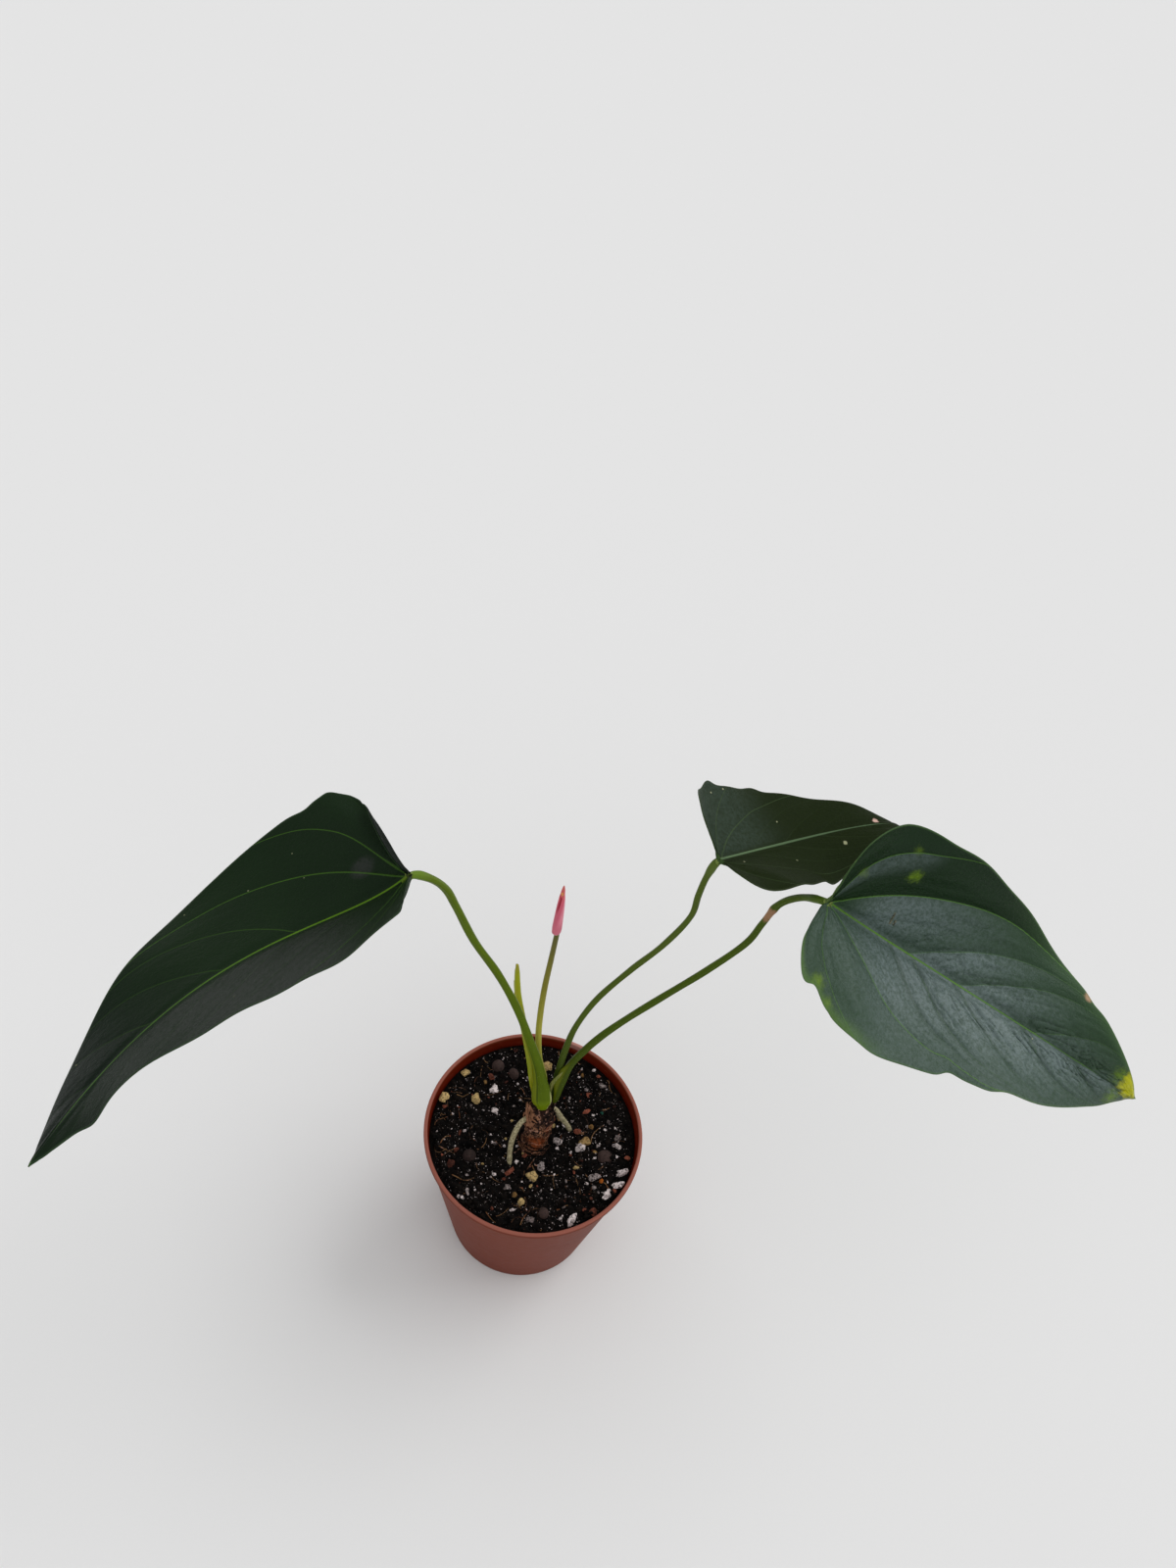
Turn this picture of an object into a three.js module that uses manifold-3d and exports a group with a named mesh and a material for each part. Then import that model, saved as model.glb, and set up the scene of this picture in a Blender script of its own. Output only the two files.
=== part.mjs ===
// Potted flamingo flower: a young anthurium with three leaves and one pink flower bud, standing in a
// plain round nursery pot. Millimetres, +Z up. The origin is the middle of the pot's underside, +X runs
// along the spread of the leaves and +Y runs away from the side that the plant is seen from.
import * as THREE from 'three';
import { mergeVertices } from 'three/addons/utils/BufferGeometryUtils.js';
import Module from 'manifold-3d';

const wasm = await Module();
wasm.setup();

// Fit: the clearance between pieces that touch
const gap = 0.3;

// Pot
const rimRadius = 52.5;
const potHeight = 88;
const baseRadius = 37.2;
const wallThickness = 1.2;
const floorThickness = 1.6;
const footRound = 1.2;
const lipWidth = 2.3;
const lipHeight = 2.8;
const lipStep = 0.6;
const drainHoleRadius = 4;
const drainHoleCircle = 26;
const drainHoleCount = 8;
const roundSides = 48;

// Potting mix
const mixLevel = 79;
const mixRelief = 0.9;
const mixRings = 11;
const grains = [
  { count: 30, smallest: 2, largest: 3.8 }, // perlite
  { count: 9, smallest: 3.5, largest: 5.5 }, // gravel
  { count: 10, smallest: 2, largest: 4.5 }, // fired clay
];
const grainFreeRadius = 14;
const grainFreeRootRadius = 5;
const grainSink = 0.06;

// Rhizome: its stump stands out of the mix and carries the leaf bases, the shoot and the flower stalk
const rhizomePath = [[2.5, -1, 46], [2.5, -1, 66], [2.6, -1, 79], [2.8, 0.6, 91], [3, 4, 104]];
const rhizomeLength = 58;
const rhizomeRadius = 6.2;
const scarRidge = 0.45;
const scarSpacing = 5.5;
const buriedRootRadius = 1.4;
const buriedRootCount = 6;
const buriedRootTurn = 0.45;

// Leaf blades: two sheet faces, thickest along the midrib
const bladeThickness = 0.9;
const midribThickness = 2.2;
const midribTaper = 0.6;
const ribsRound = 27;
const ribsPerVein = 3;
const quiltHeight = 0.5;
const waveHeight = 0.9;
const marginWaves = 5;
const droopOfMargin = 0.12;
const lobeShare = 0.3;
const ribSweep = 1.25;
const outShares = [0, 0.05, 0.18, 0.34, 0.51, 0.68, 0.84, 1];

// Half of a heart-shaped blade in blade lengths, from the junction round the lobe to the tip
const bladeOutline = [
  [0, 0], [-0.035, 0.05], [-0.062, 0.11], [-0.058, 0.175], [-0.01, 0.235], [0.08, 0.272], [0.18, 0.283],
  [0.3, 0.272], [0.42, 0.245], [0.55, 0.205], [0.68, 0.157], [0.8, 0.105], [0.9, 0.056], [1, 0],
];

// Each leaf: handles of its midrib, petiole route, and how far each half leans above level, in degrees,
// at even steps round the margin from the junction to the tip
const leaves = {
  left: {
    midrib: [[-66, 14, 250], [-89, -2.8, 226], [-146, -10.3, 223.3], [-170, -112.8, 217.5]],
    breadth: 1,
    lobeLength: 0.17,
    leanLeft: [33, 44, 38, 37, 36, 40, 13],
    leanRight: [78, 15, 19, -6, -15, -32, -44],
    ripples: [
      { side: 1, at: 0.08, reach: -0.44, width: 0.05 }, { side: 1, at: 0.18, reach: -0.15, width: 0.05 },
      { side: 1, at: 0.89, reach: 0.24, width: 0.025 }, { side: -1, at: 0.2, reach: -0.066, width: 0.03 },
      { side: -1, at: 0.29, reach: 0.035, width: 0.02 }, { side: -1, at: 0.35, reach: -0.026, width: 0.02 },
    ],
    petiole: [
      [1.6, 1.5, 101], [1, 3.2, 105.5], [0.2, 5.6, 110], [-0.9, 8.5, 117], [-3.6, 12, 127], [-8, 15.7, 136],
      [-17.3, 22, 155], [-28.4, 26, 174], [-40, 27.6, 193.5], [-49, 28, 216], [-53.3, 26.5, 228.5],
      [-59, 21.5, 240.5],
    ],
    petioleSizes: [
      [0, 3.6, 2.6], [0.03, 4.9, 3], [0.07, 4.6, 2.8], [0.13, 3, 2.4], [0.2, 2.2, 2], [0.3, 1.75, 1.75],
      [0.6, 1.6, 1.6], [0.92, 1.6, 1.6], [0.96, 1.9, 1.9], [1, 1.7, 1.7],
    ],
  },
  front_right: {
    midrib: [[101, 37, 250], [147.3, 50.2, 207], [202, 8.4, 219.9], [252, 13.1, 183.8]],
    breadth: 1.13,
    lobeLength: 1.2,
    leanLeft: [103, 77, 72, 57, 31, 49, 84],
    leanRight: [-32, -21, -2, 0, 2, -22, -59],
    ripples: [
      { side: -1, at: 0.145, reach: 0.042, width: 0.02 }, { side: -1, at: 0.18, reach: -0.11, width: 0.02 },
      { side: -1, at: 0.58, reach: -0.047, width: 0.02 }, { side: -1, at: 0.65, reach: 0.047, width: 0.03 },
      { side: -1, at: 0.92, reach: 0.04, width: 0.03 }, { side: 1, at: 0.79, reach: -0.028, width: 0.02 },
    ],
    petiole: [
      [7.6, 3, 102.5], [8.2, 6.5, 109], [9.2, 11.5, 117], [11.5, 16.5, 124.5], [16, 21.3, 131],
      [22.5, 26, 138], [31, 30, 146.5], [48, 36, 162.7], [65, 41, 180], [77, 46.5, 202],
      [81.6, 48.5, 214], [85.7, 49.2, 228], [92.7, 45, 240.5],
    ],
    petioleSizes: [
      [0, 1.8, 1.8], [0.04, 2.5, 2.2], [0.09, 2.4, 2.1], [0.15, 1.9, 1.8], [0.3, 1.6, 1.6], [0.8, 1.5, 1.5],
      [0.93, 1.5, 1.5], [0.965, 1.8, 1.8], [1, 1.7, 1.7],
    ],
  },
  back_right: {
    midrib: [[54, 39, 262], [85.9, 81.7, 229.5], [132.7, 92.8, 251.7], [137.9, 98.9, 233.2]],
    breadth: 1.04,
    lobeLength: 1.08,
    leanLeft: [62, 44, 23, 12, 3, 0, -28],
    leanRight: [20, 12, 21, 15, -4, 7, 16],
    ripples: [
      { side: 1, at: 0.35, reach: 0.103, width: 0.03 }, { side: 1, at: 0.52, reach: 0.063, width: 0.03 },
    ],
    petiole: [
      [5.4, 6.5, 102.5], [5.8, 9.2, 109], [6.2, 12.8, 116], [6.8, 16, 124], [7.8, 19.3, 132],
      [10, 23.4, 143.4], [13.2, 27, 154], [17.8, 29.8, 164.6], [29.2, 33.2, 184.6], [40.6, 35, 205],
      [48.9, 36.5, 227], [49.7, 38, 239], [51, 39, 251],
    ],
    petioleSizes: [
      [0, 1.5, 1.5], [0.05, 1.9, 1.8], [0.12, 1.8, 1.7], [0.25, 1.55, 1.55], [0.8, 1.45, 1.45],
      [0.93, 1.45, 1.45], [0.965, 1.75, 1.75], [1, 1.65, 1.65],
    ],
  },
};
const petioleSides = 8;
const petioleSteps = 28;
const petioleSeat = 2.5;

// New shoot: the next leaf, still rolled into a spear
const shootPath = [
  [-1.2, 7.8, 101], [-3, 9.2, 107], [-5.2, 10, 113.5], [-7.9, 13.8, 122.5], [-11.5, 19.3, 132],
  [-15.3, 24.5, 143], [-19.1, 30.8, 155], [-20.7, 36.3, 168],
];
const shootSizes = [[0, 1.2, 1.2], [0.1, 1.5, 1.4], [0.6, 1.35, 1.3], [0.85, 1.1, 1.1], [1, 0.35, 0.35]];

// Cataphyll: the thin dried bract between the leaf bases
const cataphyllPath = [[4.2, 7.4, 104.5], [4, 8.3, 112], [5.2, 9.4, 119], [8.3, 11, 126]];
const cataphyllSizes = [[0, 1.1, 0.4], [0.5, 1, 0.4], [0.85, 0.6, 0.35], [1, 0.32, 0.32]];

// Flower: stalk, rolled pink spathe and the spadix inside it
const stalkPath = [
  [1.8, 8, 102], [1.6, 11, 106.5], [0.2, 14.8, 113], [-3.3, 19, 121], [-5.7, 24.3, 133.5],
  [-6.5, 29.8, 145], [-6.6, 33.4, 160], [-6, 35.6, 178], [-5.6, 35.7, 198],
];
const stalkSizes = [[0, 1.1, 1.1], [0.5, 1, 1], [1, 0.95, 0.95]];
const budBase = new THREE.Vector3(-5.6, 35.8, 196.5);
const budTip = new THREE.Vector3(-6, 42.3, 222);
const budSizes = [[0, 1.9, 1.9], [0.3, 2.45, 2.45], [0.6, 2.3, 2.3], [0.85, 1.5, 1.5], [1, 0.5, 0.5]];
const budHollowSizes = [[0, 1.35, 1.35], [0.35, 1.75, 1.75], [0.8, 1.45, 1.45], [1, 0.7, 0.7]];
const budHollowLength = 19.5;
const budOverlap = 0.22;
const budSlit = { width: 0.7, depth: 4, from: 11, to: 18.5, turn: -0.6 };
const spadixSizes = [[0, 0.95, 0.95], [0.3, 1.3, 1.3], [0.75, 1.05, 1.05], [1, 0.5, 0.5]];
const spadixLength = 14;
const spadixFoot = 2.9;

// Aerial roots: each leaves the rhizome's side and runs down into the mix
const aerialRoots = {
  aerial_root_left: [
    [-1.8, 1.5, 97.5], [-4.4, 0.2, 97.3], [-7.2, -2.2, 95], [-9.6, -8.4, 88], [-9, -14.2, 79], [-8, -17, 71],
  ],
  aerial_root_right: [
    [6.8, 3.4, 99.5], [9, 4.8, 98], [12, 6, 91.5], [15, 6.9, 85], [17.6, 7.5, 79], [18.8, 7.8, 73],
  ],
};
const aerialRootSizes = [[0, 1.25, 1.25], [0.3, 1.35, 1.35], [1, 1.15, 1.15]];

function seededRandom(seed) {
  let state = seed;
  return () => {
    state = (state + 0x6d2b79f5) | 0;
    let value = Math.imul(state ^ (state >>> 15), 1 | state);
    value = (value + Math.imul(value ^ (value >>> 7), 61 | value)) ^ value;
    return ((value ^ (value >>> 14)) >>> 0) / 4294967296;
  };
}

function toSolid(geometry) {
  const bare = geometry.clone();
  bare.deleteAttribute('normal');
  bare.deleteAttribute('uv');
  const merged = mergeVertices(bare, 1e-4);
  const corners = merged.index.array;
  const triangles = [];
  for (let i = 0; i < corners.length; i += 3) {
    const [a, b, c] = [corners[i], corners[i + 1], corners[i + 2]];
    if (a !== b && b !== c && c !== a) triangles.push(a, b, c);
  }
  return new wasm.Manifold(new wasm.Mesh({
    numProp: 3,
    vertProperties: new Float32Array(merged.attributes.position.array),
    triVerts: new Uint32Array(triangles),
  }));
}

function toGeometry(solid) {
  const mesh = solid.getMesh();
  const geometry = new THREE.BufferGeometry();
  geometry.setAttribute('position', new THREE.BufferAttribute(mesh.vertProperties, 3));
  geometry.setIndex(new THREE.BufferAttribute(mesh.triVerts, 1));
  geometry.computeVertexNormals();
  return geometry;
}

function indexedGeometry(positions, index) {
  const geometry = new THREE.BufferGeometry();
  geometry.setAttribute('position', new THREE.Float32BufferAttribute(positions, 3));
  geometry.setIndex(index);
  return geometry;
}

function lathe(profile) {
  const points = profile.map(([radius, height]) => new THREE.Vector2(radius, height));
  return new THREE.LatheGeometry(points, roundSides).rotateX(Math.PI / 2);
}

// Row values at a share between the rows of a table whose first column is the share
function between(rows, share) {
  const next = Math.max(1, rows.findIndex((row) => row[0] >= share));
  const [low, high] = [rows[next - 1], rows[next]];
  const blend = THREE.MathUtils.clamp((share - low[0]) / (high[0] - low[0]), 0, 1);
  return low.slice(1).map((value, i) => THREE.MathUtils.lerp(value, high[i + 1], blend));
}

// A closed tube along a smooth curve through the path's points, with an oval section and domed ends.
// sizes gives half width and half depth along it, grow makes a larger copy for a socket or a hole.
function tube({ path, sizes, sides, steps, grow = 0, relief = () => 0 }) {
  const domeHeight = 0.5;
  const points = path.map((point) => new THREE.Vector3(...point));
  const curve = new THREE.CatmullRomCurve3(points, false, 'centripetal');
  const positions = [];
  const index = [];
  const ends = [];
  for (let row = 0; row <= steps; row += 1) {
    const share = row / steps;
    const centre = curve.getPointAt(share);
    const along = curve.getTangentAt(share);
    const deep = new THREE.Vector3(0, 1, 0).addScaledVector(along, -along.y).normalize();
    const wide = deep.clone().cross(along);
    const [halfWidth, halfDepth] = between(sizes, share).map((size) => size + grow);
    const outward = row === 0 ? -1 : Number(row === steps);
    centre.addScaledVector(along, outward * grow);
    const dome = domeHeight * Math.min(halfWidth, halfDepth);
    if (outward) ends.push(centre.clone().addScaledVector(along, outward * dome));
    for (let side = 0; side < sides; side += 1) {
      const angle = (side / sides) * 2 * Math.PI;
      const bulge = 1 + relief(share, angle) / Math.min(halfWidth, halfDepth);
      const corner = centre.clone()
        .addScaledVector(wide, halfWidth * bulge * Math.cos(angle))
        .addScaledVector(deep, halfDepth * bulge * Math.sin(angle));
      positions.push(...corner.toArray());
    }
  }
  for (let row = 0; row < steps; row += 1) {
    for (let side = 0; side < sides; side += 1) {
      const [a, b] = [row * sides + side, row * sides + ((side + 1) % sides)];
      index.push(a, b, b + sides, a, b + sides, a + sides);
    }
  }
  const [startPole, endPole] = [positions.length / 3, positions.length / 3 + 1];
  positions.push(...ends[0].toArray(), ...ends[1].toArray());
  for (let side = 0; side < sides; side += 1) {
    const next = (side + 1) % sides;
    index.push(startPole, next, side, endPole, steps * sides + side, steps * sides + next);
  }
  return toSolid(indexedGeometry(positions, index));
}

// Two faces and a rim from one sheet of triangles; both faces are split alike
function thicken(positions, index, halfThickness) {
  const sheet = indexedGeometry(positions, index);
  sheet.computeVertexNormals();
  const normals = sheet.attributes.normal.array;
  const count = positions.length / 3;
  const solid = [];
  for (const face of [1, -1]) {
    for (let i = 0; i < positions.length; i += 1) {
      solid.push(positions[i] + face * normals[i] * halfThickness[Math.floor(i / 3)]);
    }
  }
  const edges = new Set();
  const triangles = [];
  for (let i = 0; i < index.length; i += 3) {
    const [a, b, c] = index.slice(i, i + 3);
    triangles.push(a, b, c, a + count, c + count, b + count);
    for (const [from, to] of [[a, b], [b, c], [c, a]]) edges.add(`${from} ${to}`);
  }
  for (const edge of edges) {
    const [from, to] = edge.split(' ').map(Number);
    if (!edges.has(`${to} ${from}`)) triangles.push(to, from, from + count, to, from + count, to + count);
  }
  return toSolid(indexedGeometry(solid, triangles));
}

// Smooth value through evenly spaced ones
function smoothValue(values, share) {
  const place = share * (values.length - 1);
  const low = Math.min(Math.floor(place), values.length - 2);
  const at = (i) => values[THREE.MathUtils.clamp(i, 0, values.length - 1)];
  const t = place - low;
  const [before, a, b, after] = [at(low - 1), at(low), at(low + 1), at(low + 2)];
  const linear = (b - before) * t;
  const square = (2 * before - 5 * a + 4 * b - after) * t * t;
  const cube = (3 * a - before - 3 * b + after) * t ** 3;
  return (2 * a + linear + square + cube) / 2;
}

const outlineCurve = new THREE.SplineCurve(bladeOutline.map(([x, y]) => new THREE.Vector2(x, y)));

// A point of a leaf blade. round is the share of the way round one half's margin, out the share of the
// way along the rib from the midrib to that margin, and side 1 or -1 the half left or right of the midrib.
function bladePoint(leaf, curve, round, out, side) {
  const length = curve.getLength();
  const margin = outlineCurve.getPointAt(round);
  if (margin.x < 0) margin.x *= leaf.lobeLength;
  const sweep = THREE.MathUtils.clamp((round - lobeShare) / (1 - lobeShare), 0, 1) ** ribSweep;
  const root = Math.min(sweep, THREE.MathUtils.clamp(margin.x, 0, 1));
  let reach = out;
  for (const ripple of leaf.ripples) {
    const near = Math.exp(-(((round - ripple.at) / ripple.width) ** 2));
    if (ripple.side === side) reach *= 1 + ripple.reach * near * out;
  }
  const x = THREE.MathUtils.lerp(root, margin.x, reach);
  const y = margin.y * leaf.breadth * reach;
  const on = THREE.MathUtils.clamp(x, 0, 1);
  const along = curve.getTangentAt(on);
  const level = new THREE.Vector3(0, 0, 1).cross(along).normalize();
  const upright = along.clone().cross(level);
  const lean = THREE.MathUtils.degToRad(smoothValue(side > 0 ? leaf.leanLeft : leaf.leanRight, round));
  return curve.getPointAt(on)
    .addScaledVector(along, Math.min(x, 0) * length)
    .addScaledVector(level, side * y * length * Math.cos(lean))
    .addScaledVector(upright, y * length * (Math.sin(lean) - droopOfMargin * y));
}

// Both halves of the blade share the junction, the midrib and the tip. Between its veins the sheet is
// quilted, and towards the margin it waves.
function blade(leaf, grow = 0) {
  const curve = new THREE.CubicBezierCurve3(...leaf.midrib.map((point) => new THREE.Vector3(...point)));
  const last = outShares.length - 1;
  const positions = [];
  const halfThickness = [];
  const places = new Map();
  const place = (side, rib, step) => {
    const round = rib / ribsRound;
    const out = outShares[step];
    let key = `${side} ${rib} ${step}`;
    if (step === 0) key = round <= lobeShare ? 'junction' : `midrib ${rib}`;
    if (rib === ribsRound) key = 'tip';
    if (!places.has(key)) {
      const point = bladePoint(leaf, curve, round, out, side);
      const quilt = rib % ribsPerVein ? quiltHeight * Math.sin(Math.PI * out) : 0;
      const waves = Math.sin(round * marginWaves * 2 * Math.PI + side) * Math.sin(Math.PI * round);
      const wave = waveHeight * out ** 3 * waves;
      point.z += quilt + wave;
      const ridge = step === 0 ? midribThickness * (1 - midribTaper * round) : bladeThickness;
      places.set(key, positions.length / 3);
      positions.push(...point.toArray());
      halfThickness.push(Math.max(bladeThickness, ridge) / 2 + grow);
    }
    return places.get(key);
  };
  const index = [];
  for (const side of [1, -1]) {
    for (let rib = 1; rib < ribsRound; rib += 1) {
      for (let step = 0; step < last; step += 1) {
        const [a, b] = [place(side, rib, step), place(side, rib, step + 1)];
        const [c, d] = [place(side, rib + 1, step), place(side, rib + 1, step + 1)];
        for (const corners of [[a, d, b], [a, c, d]]) {
          if (new Set(corners).size < 3) continue;
          index.push(...(side > 0 ? corners : corners.reverse()));
        }
      }
    }
  }
  return thicken(positions, index, halfThickness);
}

// Outer radius of the pot's tapering wall
function wallAt(height) {
  return baseRadius + ((rimRadius - baseRadius) * height) / potHeight - lipStep;
}

function pot() {
  const innerAt = (height) => wallAt(height) - wallThickness;
  const underLip = potHeight - lipHeight;
  const [lipOut, lipIn] = [rimRadius, rimRadius - lipWidth];
  const outside = [
    [0, 0], [baseRadius - footRound, 0], [wallAt(1), 1], [wallAt(underLip), underLip],
    [lipOut, underLip + 0.5], [lipOut, potHeight - 0.5], [lipOut - 0.6, potHeight],
  ];
  const inside = [
    [lipIn + 0.4, potHeight], [lipIn, potHeight - 0.6], [innerAt(underLip), underLip - 1.5],
    [innerAt(4), 4], [innerAt(floorThickness) - 2, floorThickness], [0, floorThickness],
  ];
  let solid = toSolid(lathe([...outside, ...inside]));
  const drill = new THREE.CylinderGeometry(drainHoleRadius, drainHoleRadius, 4 * floorThickness, 14);
  drill.rotateX(Math.PI / 2);
  for (let i = 0; i < drainHoleCount; i += 1) {
    const angle = ((i + 0.5) / drainHoleCount) * 2 * Math.PI;
    const [x, y] = [drainHoleCircle * Math.cos(angle), drainHoleCircle * Math.sin(angle)];
    solid = solid.subtract(toSolid(drill.clone().translate(x, y, 0)));
  }
  return solid;
}

// Height of the mix's crumbly top above its mean level
function mixTop(x, y) {
  const swell = Math.sin(0.11 * x + 0.4) * Math.cos(0.13 * y - 0.7);
  const crumbs = Math.sin(0.63 * x + 1.1 * y) + Math.sin(0.9 * x - 0.57 * y + 2);
  return mixRelief * (0.6 * swell + 0.35 * crumbs);
}

// A grain with few sides, sunk into the top of the mix
function grain(random, size, x, y) {
  const shape = new THREE.IcosahedronGeometry(size / 2, 0);
  shape.scale(1, 0.65 + 0.35 * random(), 0.6 + 0.3 * random());
  shape.rotateX(random() * Math.PI).rotateZ(random() * 2 * Math.PI);
  return toSolid(shape.translate(x, y, mixLevel + mixTop(x, y) - grainSink * size));
}

// The mix's body, as wide as the pot inside, with a crumbly top
function mixBody(topRadius) {
  const outerAt = (height) => wallAt(height) - wallThickness - gap;
  const bottom = floorThickness + gap;
  const edgeRound = 0.5;
  const profile = [[0, bottom], [outerAt(bottom) - 2.2, bottom], [outerAt(4.4), 4.4]];
  profile.push([topRadius, mixLevel - 3 * edgeRound]);
  for (let ring = mixRings - 1; ring >= 0; ring -= 1) {
    profile.push([(topRadius - edgeRound) * (ring / (mixRings - 1)), mixLevel]);
  }
  const geometry = lathe(profile);
  const corners = geometry.attributes.position;
  for (let i = 0; i < corners.count; i += 1) {
    const [x, y, z] = [corners.getX(i), corners.getY(i), corners.getZ(i)];
    if (z > mixLevel - edgeRound) corners.setZ(i, mixLevel + mixTop(x, y));
  }
  return toSolid(geometry);
}

// Peat mix filling the pot, with perlite, gravel and clay grains bedded in its top
function pottingMix() {
  const topRadius = wallAt(mixLevel - 2) - wallThickness - gap - 0.2;
  let solid = mixBody(topRadius);
  const random = seededRandom(11);
  const rootHoles = Object.values(aerialRoots).map((path) => path.find((point) => point[2] <= mixLevel));
  for (const { count, smallest, largest } of grains) {
    for (let placed = 0; placed < count;) {
      const size = THREE.MathUtils.lerp(smallest, largest, random());
      const radius = THREE.MathUtils.lerp(grainFreeRadius, topRadius - 4, Math.sqrt(random()));
      const angle = random() * 2 * Math.PI;
      const [x, y] = [radius * Math.cos(angle), radius * Math.sin(angle)];
      const crowded = rootHoles.some((hole) => Math.hypot(x - hole[0], y - hole[1]) < grainFreeRootRadius);
      if (!crowded) {
        solid = solid.add(grain(random, size, x, y));
        placed += 1;
      }
    }
  }
  return solid;
}

// Ridges of old leaf scars round the rhizome, broken up by the torn ends of dry scales
function scarRelief(share, angle) {
  const height = share * rhizomeLength;
  const rings = Math.sin((2 * Math.PI * height) / scarSpacing + 0.8 * Math.sin(angle));
  const scales = Math.sin(3 * angle + 0.35 * height) + 0.6 * Math.sin(5 * angle - 0.6 * height);
  return scarRidge * (rings + 0.5 * scales);
}

function rhizomeColumn(options) {
  const sizes = [
    [0, 3.4, 3.4], [0.15, 5, 5], [0.4, rhizomeRadius, rhizomeRadius], [0.85, rhizomeRadius, rhizomeRadius],
    [1, rhizomeRadius - 0.6, rhizomeRadius - 0.6],
  ];
  return tube({ path: rhizomePath, sizes, ...options });
}

// Fleshy roots under the mix, spread evenly round the buried end of the rhizome
function buriedRoots(grow) {
  const random = seededRandom(5);
  const [centreX, centreY] = rhizomePath[0];
  const roots = [];
  for (let i = 0; i < buriedRootCount; i += 1) {
    const angle = ((i + 0.5 * random()) / buriedRootCount) * 2 * Math.PI;
    const start = THREE.MathUtils.lerp(52, 62, random());
    const end = THREE.MathUtils.lerp(14, 24, random());
    const spread = THREE.MathUtils.lerp(24, 30, random());
    const at = (radius, height) => {
      const turned = angle + buriedRootTurn * (radius / spread) ** 2;
      return [centreX + radius * Math.cos(turned), centreY + radius * Math.sin(turned), height];
    };
    const path = [at(2, start + 1), at(11, start - 3), at(20, (start + end) / 2), at(spread, end)];
    const sizes = [[0, buriedRootRadius, buriedRootRadius], [0.7, 1.2, 1.2], [1, 0.6, 0.6]];
    roots.push(tube({ path, sizes, sides: 6, steps: 9, grow }));
  }
  return roots;
}

function sum(solids) {
  return solids.reduce((whole, solid) => whole.add(solid));
}

// What is left of a solid in one piece once its neighbours are cut from it; loose crumbs are dropped
function cutBy(solid, cutters) {
  const rest = cutters.reduce((whole, cutter) => whole.subtract(cutter), solid);
  return rest.decompose().reduce((largest, piece) => (piece.volume() > largest.volume() ? piece : largest));
}

// A petiole stops just short of the middle of its blade's junction
function petioleTube(leaf, grow = 0) {
  const junction = new THREE.Vector3(...leaf.midrib[0]);
  const below = new THREE.Vector3(...leaf.petiole.at(-1)).sub(junction).setLength(petioleSeat);
  const path = [...leaf.petiole, junction.add(below).toArray()];
  return tube({ path, sizes: leaf.petioleSizes, sides: petioleSides, steps: petioleSteps, grow });
}

const shootTube = (grow = 0) => tube({ path: shootPath, sizes: shootSizes, sides: 8, steps: 10, grow });
const stalkTube = (grow = 0) => tube({ path: stalkPath, sizes: stalkSizes, sides: 8, steps: 18, grow });
const aerialRootTube = (path, grow = 0) => tube({ path, sizes: aerialRootSizes, sides: 8, steps: 12, grow });

function cataphyllTube(grow = 0) {
  return tube({ path: cataphyllPath, sizes: cataphyllSizes, sides: 6, steps: 8, grow });
}

// A straight tube inside the bud, from a distance past its base
function budTube(from, length, sizes, options) {
  const along = budTip.clone().sub(budBase).normalize();
  const at = (distance) => budBase.clone().addScaledVector(along, distance).toArray();
  return tube({ path: [at(from), at(from + length)], sizes, ...options });
}

// Rolled spathe: open at its foot round the stalk, and along a slit where its edge overlaps near the tip
function spatheBud() {
  const rolledEdge = (share, angle) => budOverlap * (((angle + 2.2 + 2 * share) / (2 * Math.PI)) % 1 - 0.5);
  const budLength = budTip.distanceTo(budBase);
  const outside = budTube(0, budLength, budSizes, { sides: 16, steps: 14, relief: rolledEdge });
  const hollow = budTube(-1.5, budHollowLength, budHollowSizes, { sides: 10, steps: 8 });
  const slitLength = budSlit.to - budSlit.from;
  const slit = new THREE.BoxGeometry(budSlit.width, budSlit.depth, slitLength);
  slit.translate(0, -budSlit.depth / 2, budSlit.from + slitLength / 2);
  slit.rotateZ(budSlit.turn);
  const [upright, along] = [new THREE.Vector3(0, 0, 1), budTip.clone().sub(budBase).normalize()];
  slit.applyQuaternion(new THREE.Quaternion().setFromUnitVectors(upright, along));
  slit.translate(...budBase.toArray());
  return cutBy(outside, [hollow, toSolid(slit), stalkTube(gap)]);
}

const colours = {
  terracotta: ['#8a4a3a', 0.55],
  peat: ['#1d1714', 0.95],
  rhizomeBark: ['#5a3a26', 0.9],
  rootSkin: ['#8d8b74', 0.8],
  bladeGreen: ['#1f3d26', 0.4],
  petioleGreen: ['#4f7a2e', 0.5],
  shootGreen: ['#96a63c', 0.5],
  stalkOlive: ['#7c7a3c', 0.55],
  dryBract: ['#8c8450', 0.8],
  spathePink: ['#cf5f80', 0.45],
  spadixCream: ['#dba468', 0.7],
};

const plant = new THREE.Group();

function addPiece(name, solid, [color, roughness]) {
  const material = new THREE.MeshStandardMaterial({ color, roughness, metalness: 0 });
  const mesh = new THREE.Mesh(toGeometry(solid), material);
  mesh.name = name;
  plant.add(mesh);
}

// Leaves: each petiole ends in a thicker knuckle just under its blade
const petioleCopies = Object.values(leaves).map((leaf) => petioleTube(leaf, gap));
Object.entries(leaves).forEach(([name, leaf], order) => {
  const cutters = [blade(leaf, gap), ...petioleCopies.slice(0, order)];
  addPiece(`petiole_${name}`, cutBy(petioleTube(leaf), cutters), colours.petioleGreen);
  addPiece(`blade_${name}`, blade(leaf), colours.bladeGreen);
});

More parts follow.
